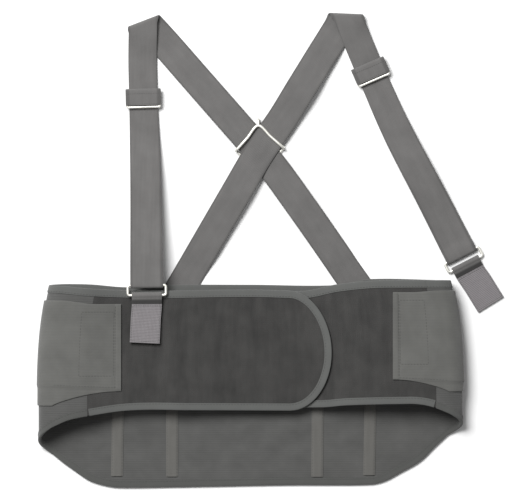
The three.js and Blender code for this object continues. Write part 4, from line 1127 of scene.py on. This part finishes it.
def add_cross_slide():
    """The wire round the crossing, set from the webbing's edges above and below it."""
    a, b = RIGHT_ROUTE["back"], LEFT_ROUTE["back"]
    a_above, a_below = (a[5], a[8]), (a[2], a[4])
    b_above, b_below = (b[6], b[8]), (b[2], b[4])
    top = edges_meet((*a_above, 1), (*b_above, -1))
    right = edges_meet((*a_above, -1), (*b_below, -1))
    left = edges_meet((*a_below, 1), (*b_above, 1))
    bottom = edges_meet((*a_below, -1), (*b_below, 1))
    middle = (left + right) / 2
    corner = CROSS_WIRE / 2 + CROSS_GAP

    def outside(spot, extra):
        return spot + unit(spot - middle) * extra

    def slip(name, start, end):
        return unit(plan(end) - plan(start)) * CROSS_SLIP[name]

    corners = {
        "apex": outside(top, CROSS_GAP), "foot": outside(bottom, -corner),
        "right": outside(right, corner) + slip("right", *a_above),
        "left": outside(left, corner) + slip("left", *b_above),
    }
    corners["tip"] = corners["apex"] + np.array([0, CROSS_POST])

    def path_of(table):
        return np.array([
            raised(mix(corners[start], corners[end], part), mix(CROSS_UNDER, CROSS_OVER, rise))
            for start, end, part, rise in table
        ])

    loop_path = smooth_path(path_of(CROSS_LOOP), 1.6, closed=True)[0]
    post_path = smooth_path(path_of(CROSS_SPINE), 1.6)[0]
    parts = [(loop_path, CROSS_WIRE, (0, 0, 1), True), (post_path, CROSS_WIRE, (1, 0, 0), False)]
    wires("cross_wire", parts, "cross_slide")


# Assembly.

add_body()
add_stays()
add_front("right", 1, RIGHT_SEAM, RIGHT_ROUND, RIGHT_TOP, RIGHT_BOTTOM, lambda x: 0 * x)
add_front("left", -1, LEFT_SEAM, LEFT_ROUND, LEFT_TOP, LEFT_BOTTOM, left_over)
add_cinch("left", CINCH_LEFT)
add_cinch("right", CINCH_RIGHT)

FLOOR_BAR = TAB_WALL + CLEARANCE + RING_WIRE / 2
ring_right = ring_of(RIGHT_ROUTE, FLOOR_BAR)
ring_x = plan(LEFT_ROUTE["front"][-1])[0] + np.array([-0.5, 0, 0.5]) * RING_WIDTH
panel_top = float(np.max(front_height(ring_x) + left_over(ring_x))) + FRONT_WALL
ring_left = ring_of(LEFT_ROUTE, panel_top + BINDING_STAND + 2 * CLEARANCE + FLOOR_BAR)
add_strap("right", RIGHT_ROUTE, ring_right)
add_strap("left", LEFT_ROUTE, ring_left)
add_slide("right", RIGHT_ROUTE)
add_slide("left", LEFT_ROUTE)
add_ring_and_tab("right", ring_right)
add_ring_and_tab("left", ring_left)
add_cross_slide()

# Floor, light and camera.


def add_floor():
    reach, level = 2500.0, -0.3
    corners = ((-1, -1), (1, -1), (1, 1), (-1, 1))
    points = np.array([[reach * x, reach * y, level] for x, y in corners])
    tree = Tree("floor")
    tree.set(Base_Color=(0.76, 0.76, 0.76, 1.0), Roughness=0.85)
    floor = add_mesh("floor", points, [(0, 1, 2, 3)], tree.material)


def add_light(place, size, power):
    light = bpy.data.lights.new("key", "AREA")
    light.shape = "DISK"
    light.size = size
    light.energy = power
    obj = bpy.data.objects.new("key", light)
    obj.location = place
    obj.rotation_euler = (-Vector(place)).to_track_quat("-Z", "Y").to_euler()
    bpy.context.scene.collection.objects.link(obj)


def add_world(strength):
    world = bpy.data.worlds.new("studio")
    world.use_nodes = True
    background = world.node_tree.nodes["Background"]
    background.inputs[0].default_value = (1.0, 1.0, 1.0, 1.0)
    background.inputs[1].default_value = strength
    bpy.context.scene.world = world


def add_camera():
    """Straight above, as far as makes the belt's height matter little."""
    scale = 1.12
    photo_width = 510
    aim = np.array([255 - 250.5, 285 - 250, 0.0]) * scale + ORIGIN
    distance = 5.0
    belt_middle = 0.008
    camera = bpy.data.cameras.new("camera")
    camera.sensor_width = 36.0
    camera.lens = camera.sensor_width * distance / (photo_width * scale * MM)
    camera.clip_start, camera.clip_end = 0.1, 50.0
    obj = bpy.data.objects.new("camera", camera)
    obj.location = (aim[0] * MM, aim[1] * MM, distance + belt_middle)
    bpy.context.scene.collection.objects.link(obj)
    bpy.context.scene.camera = obj


add_floor()
add_light((-1.2, 1.55, 3.1), 1.9, 210)
add_world(0.34)
add_camera()
bpy.context.scene.view_settings.view_transform = "Standard"
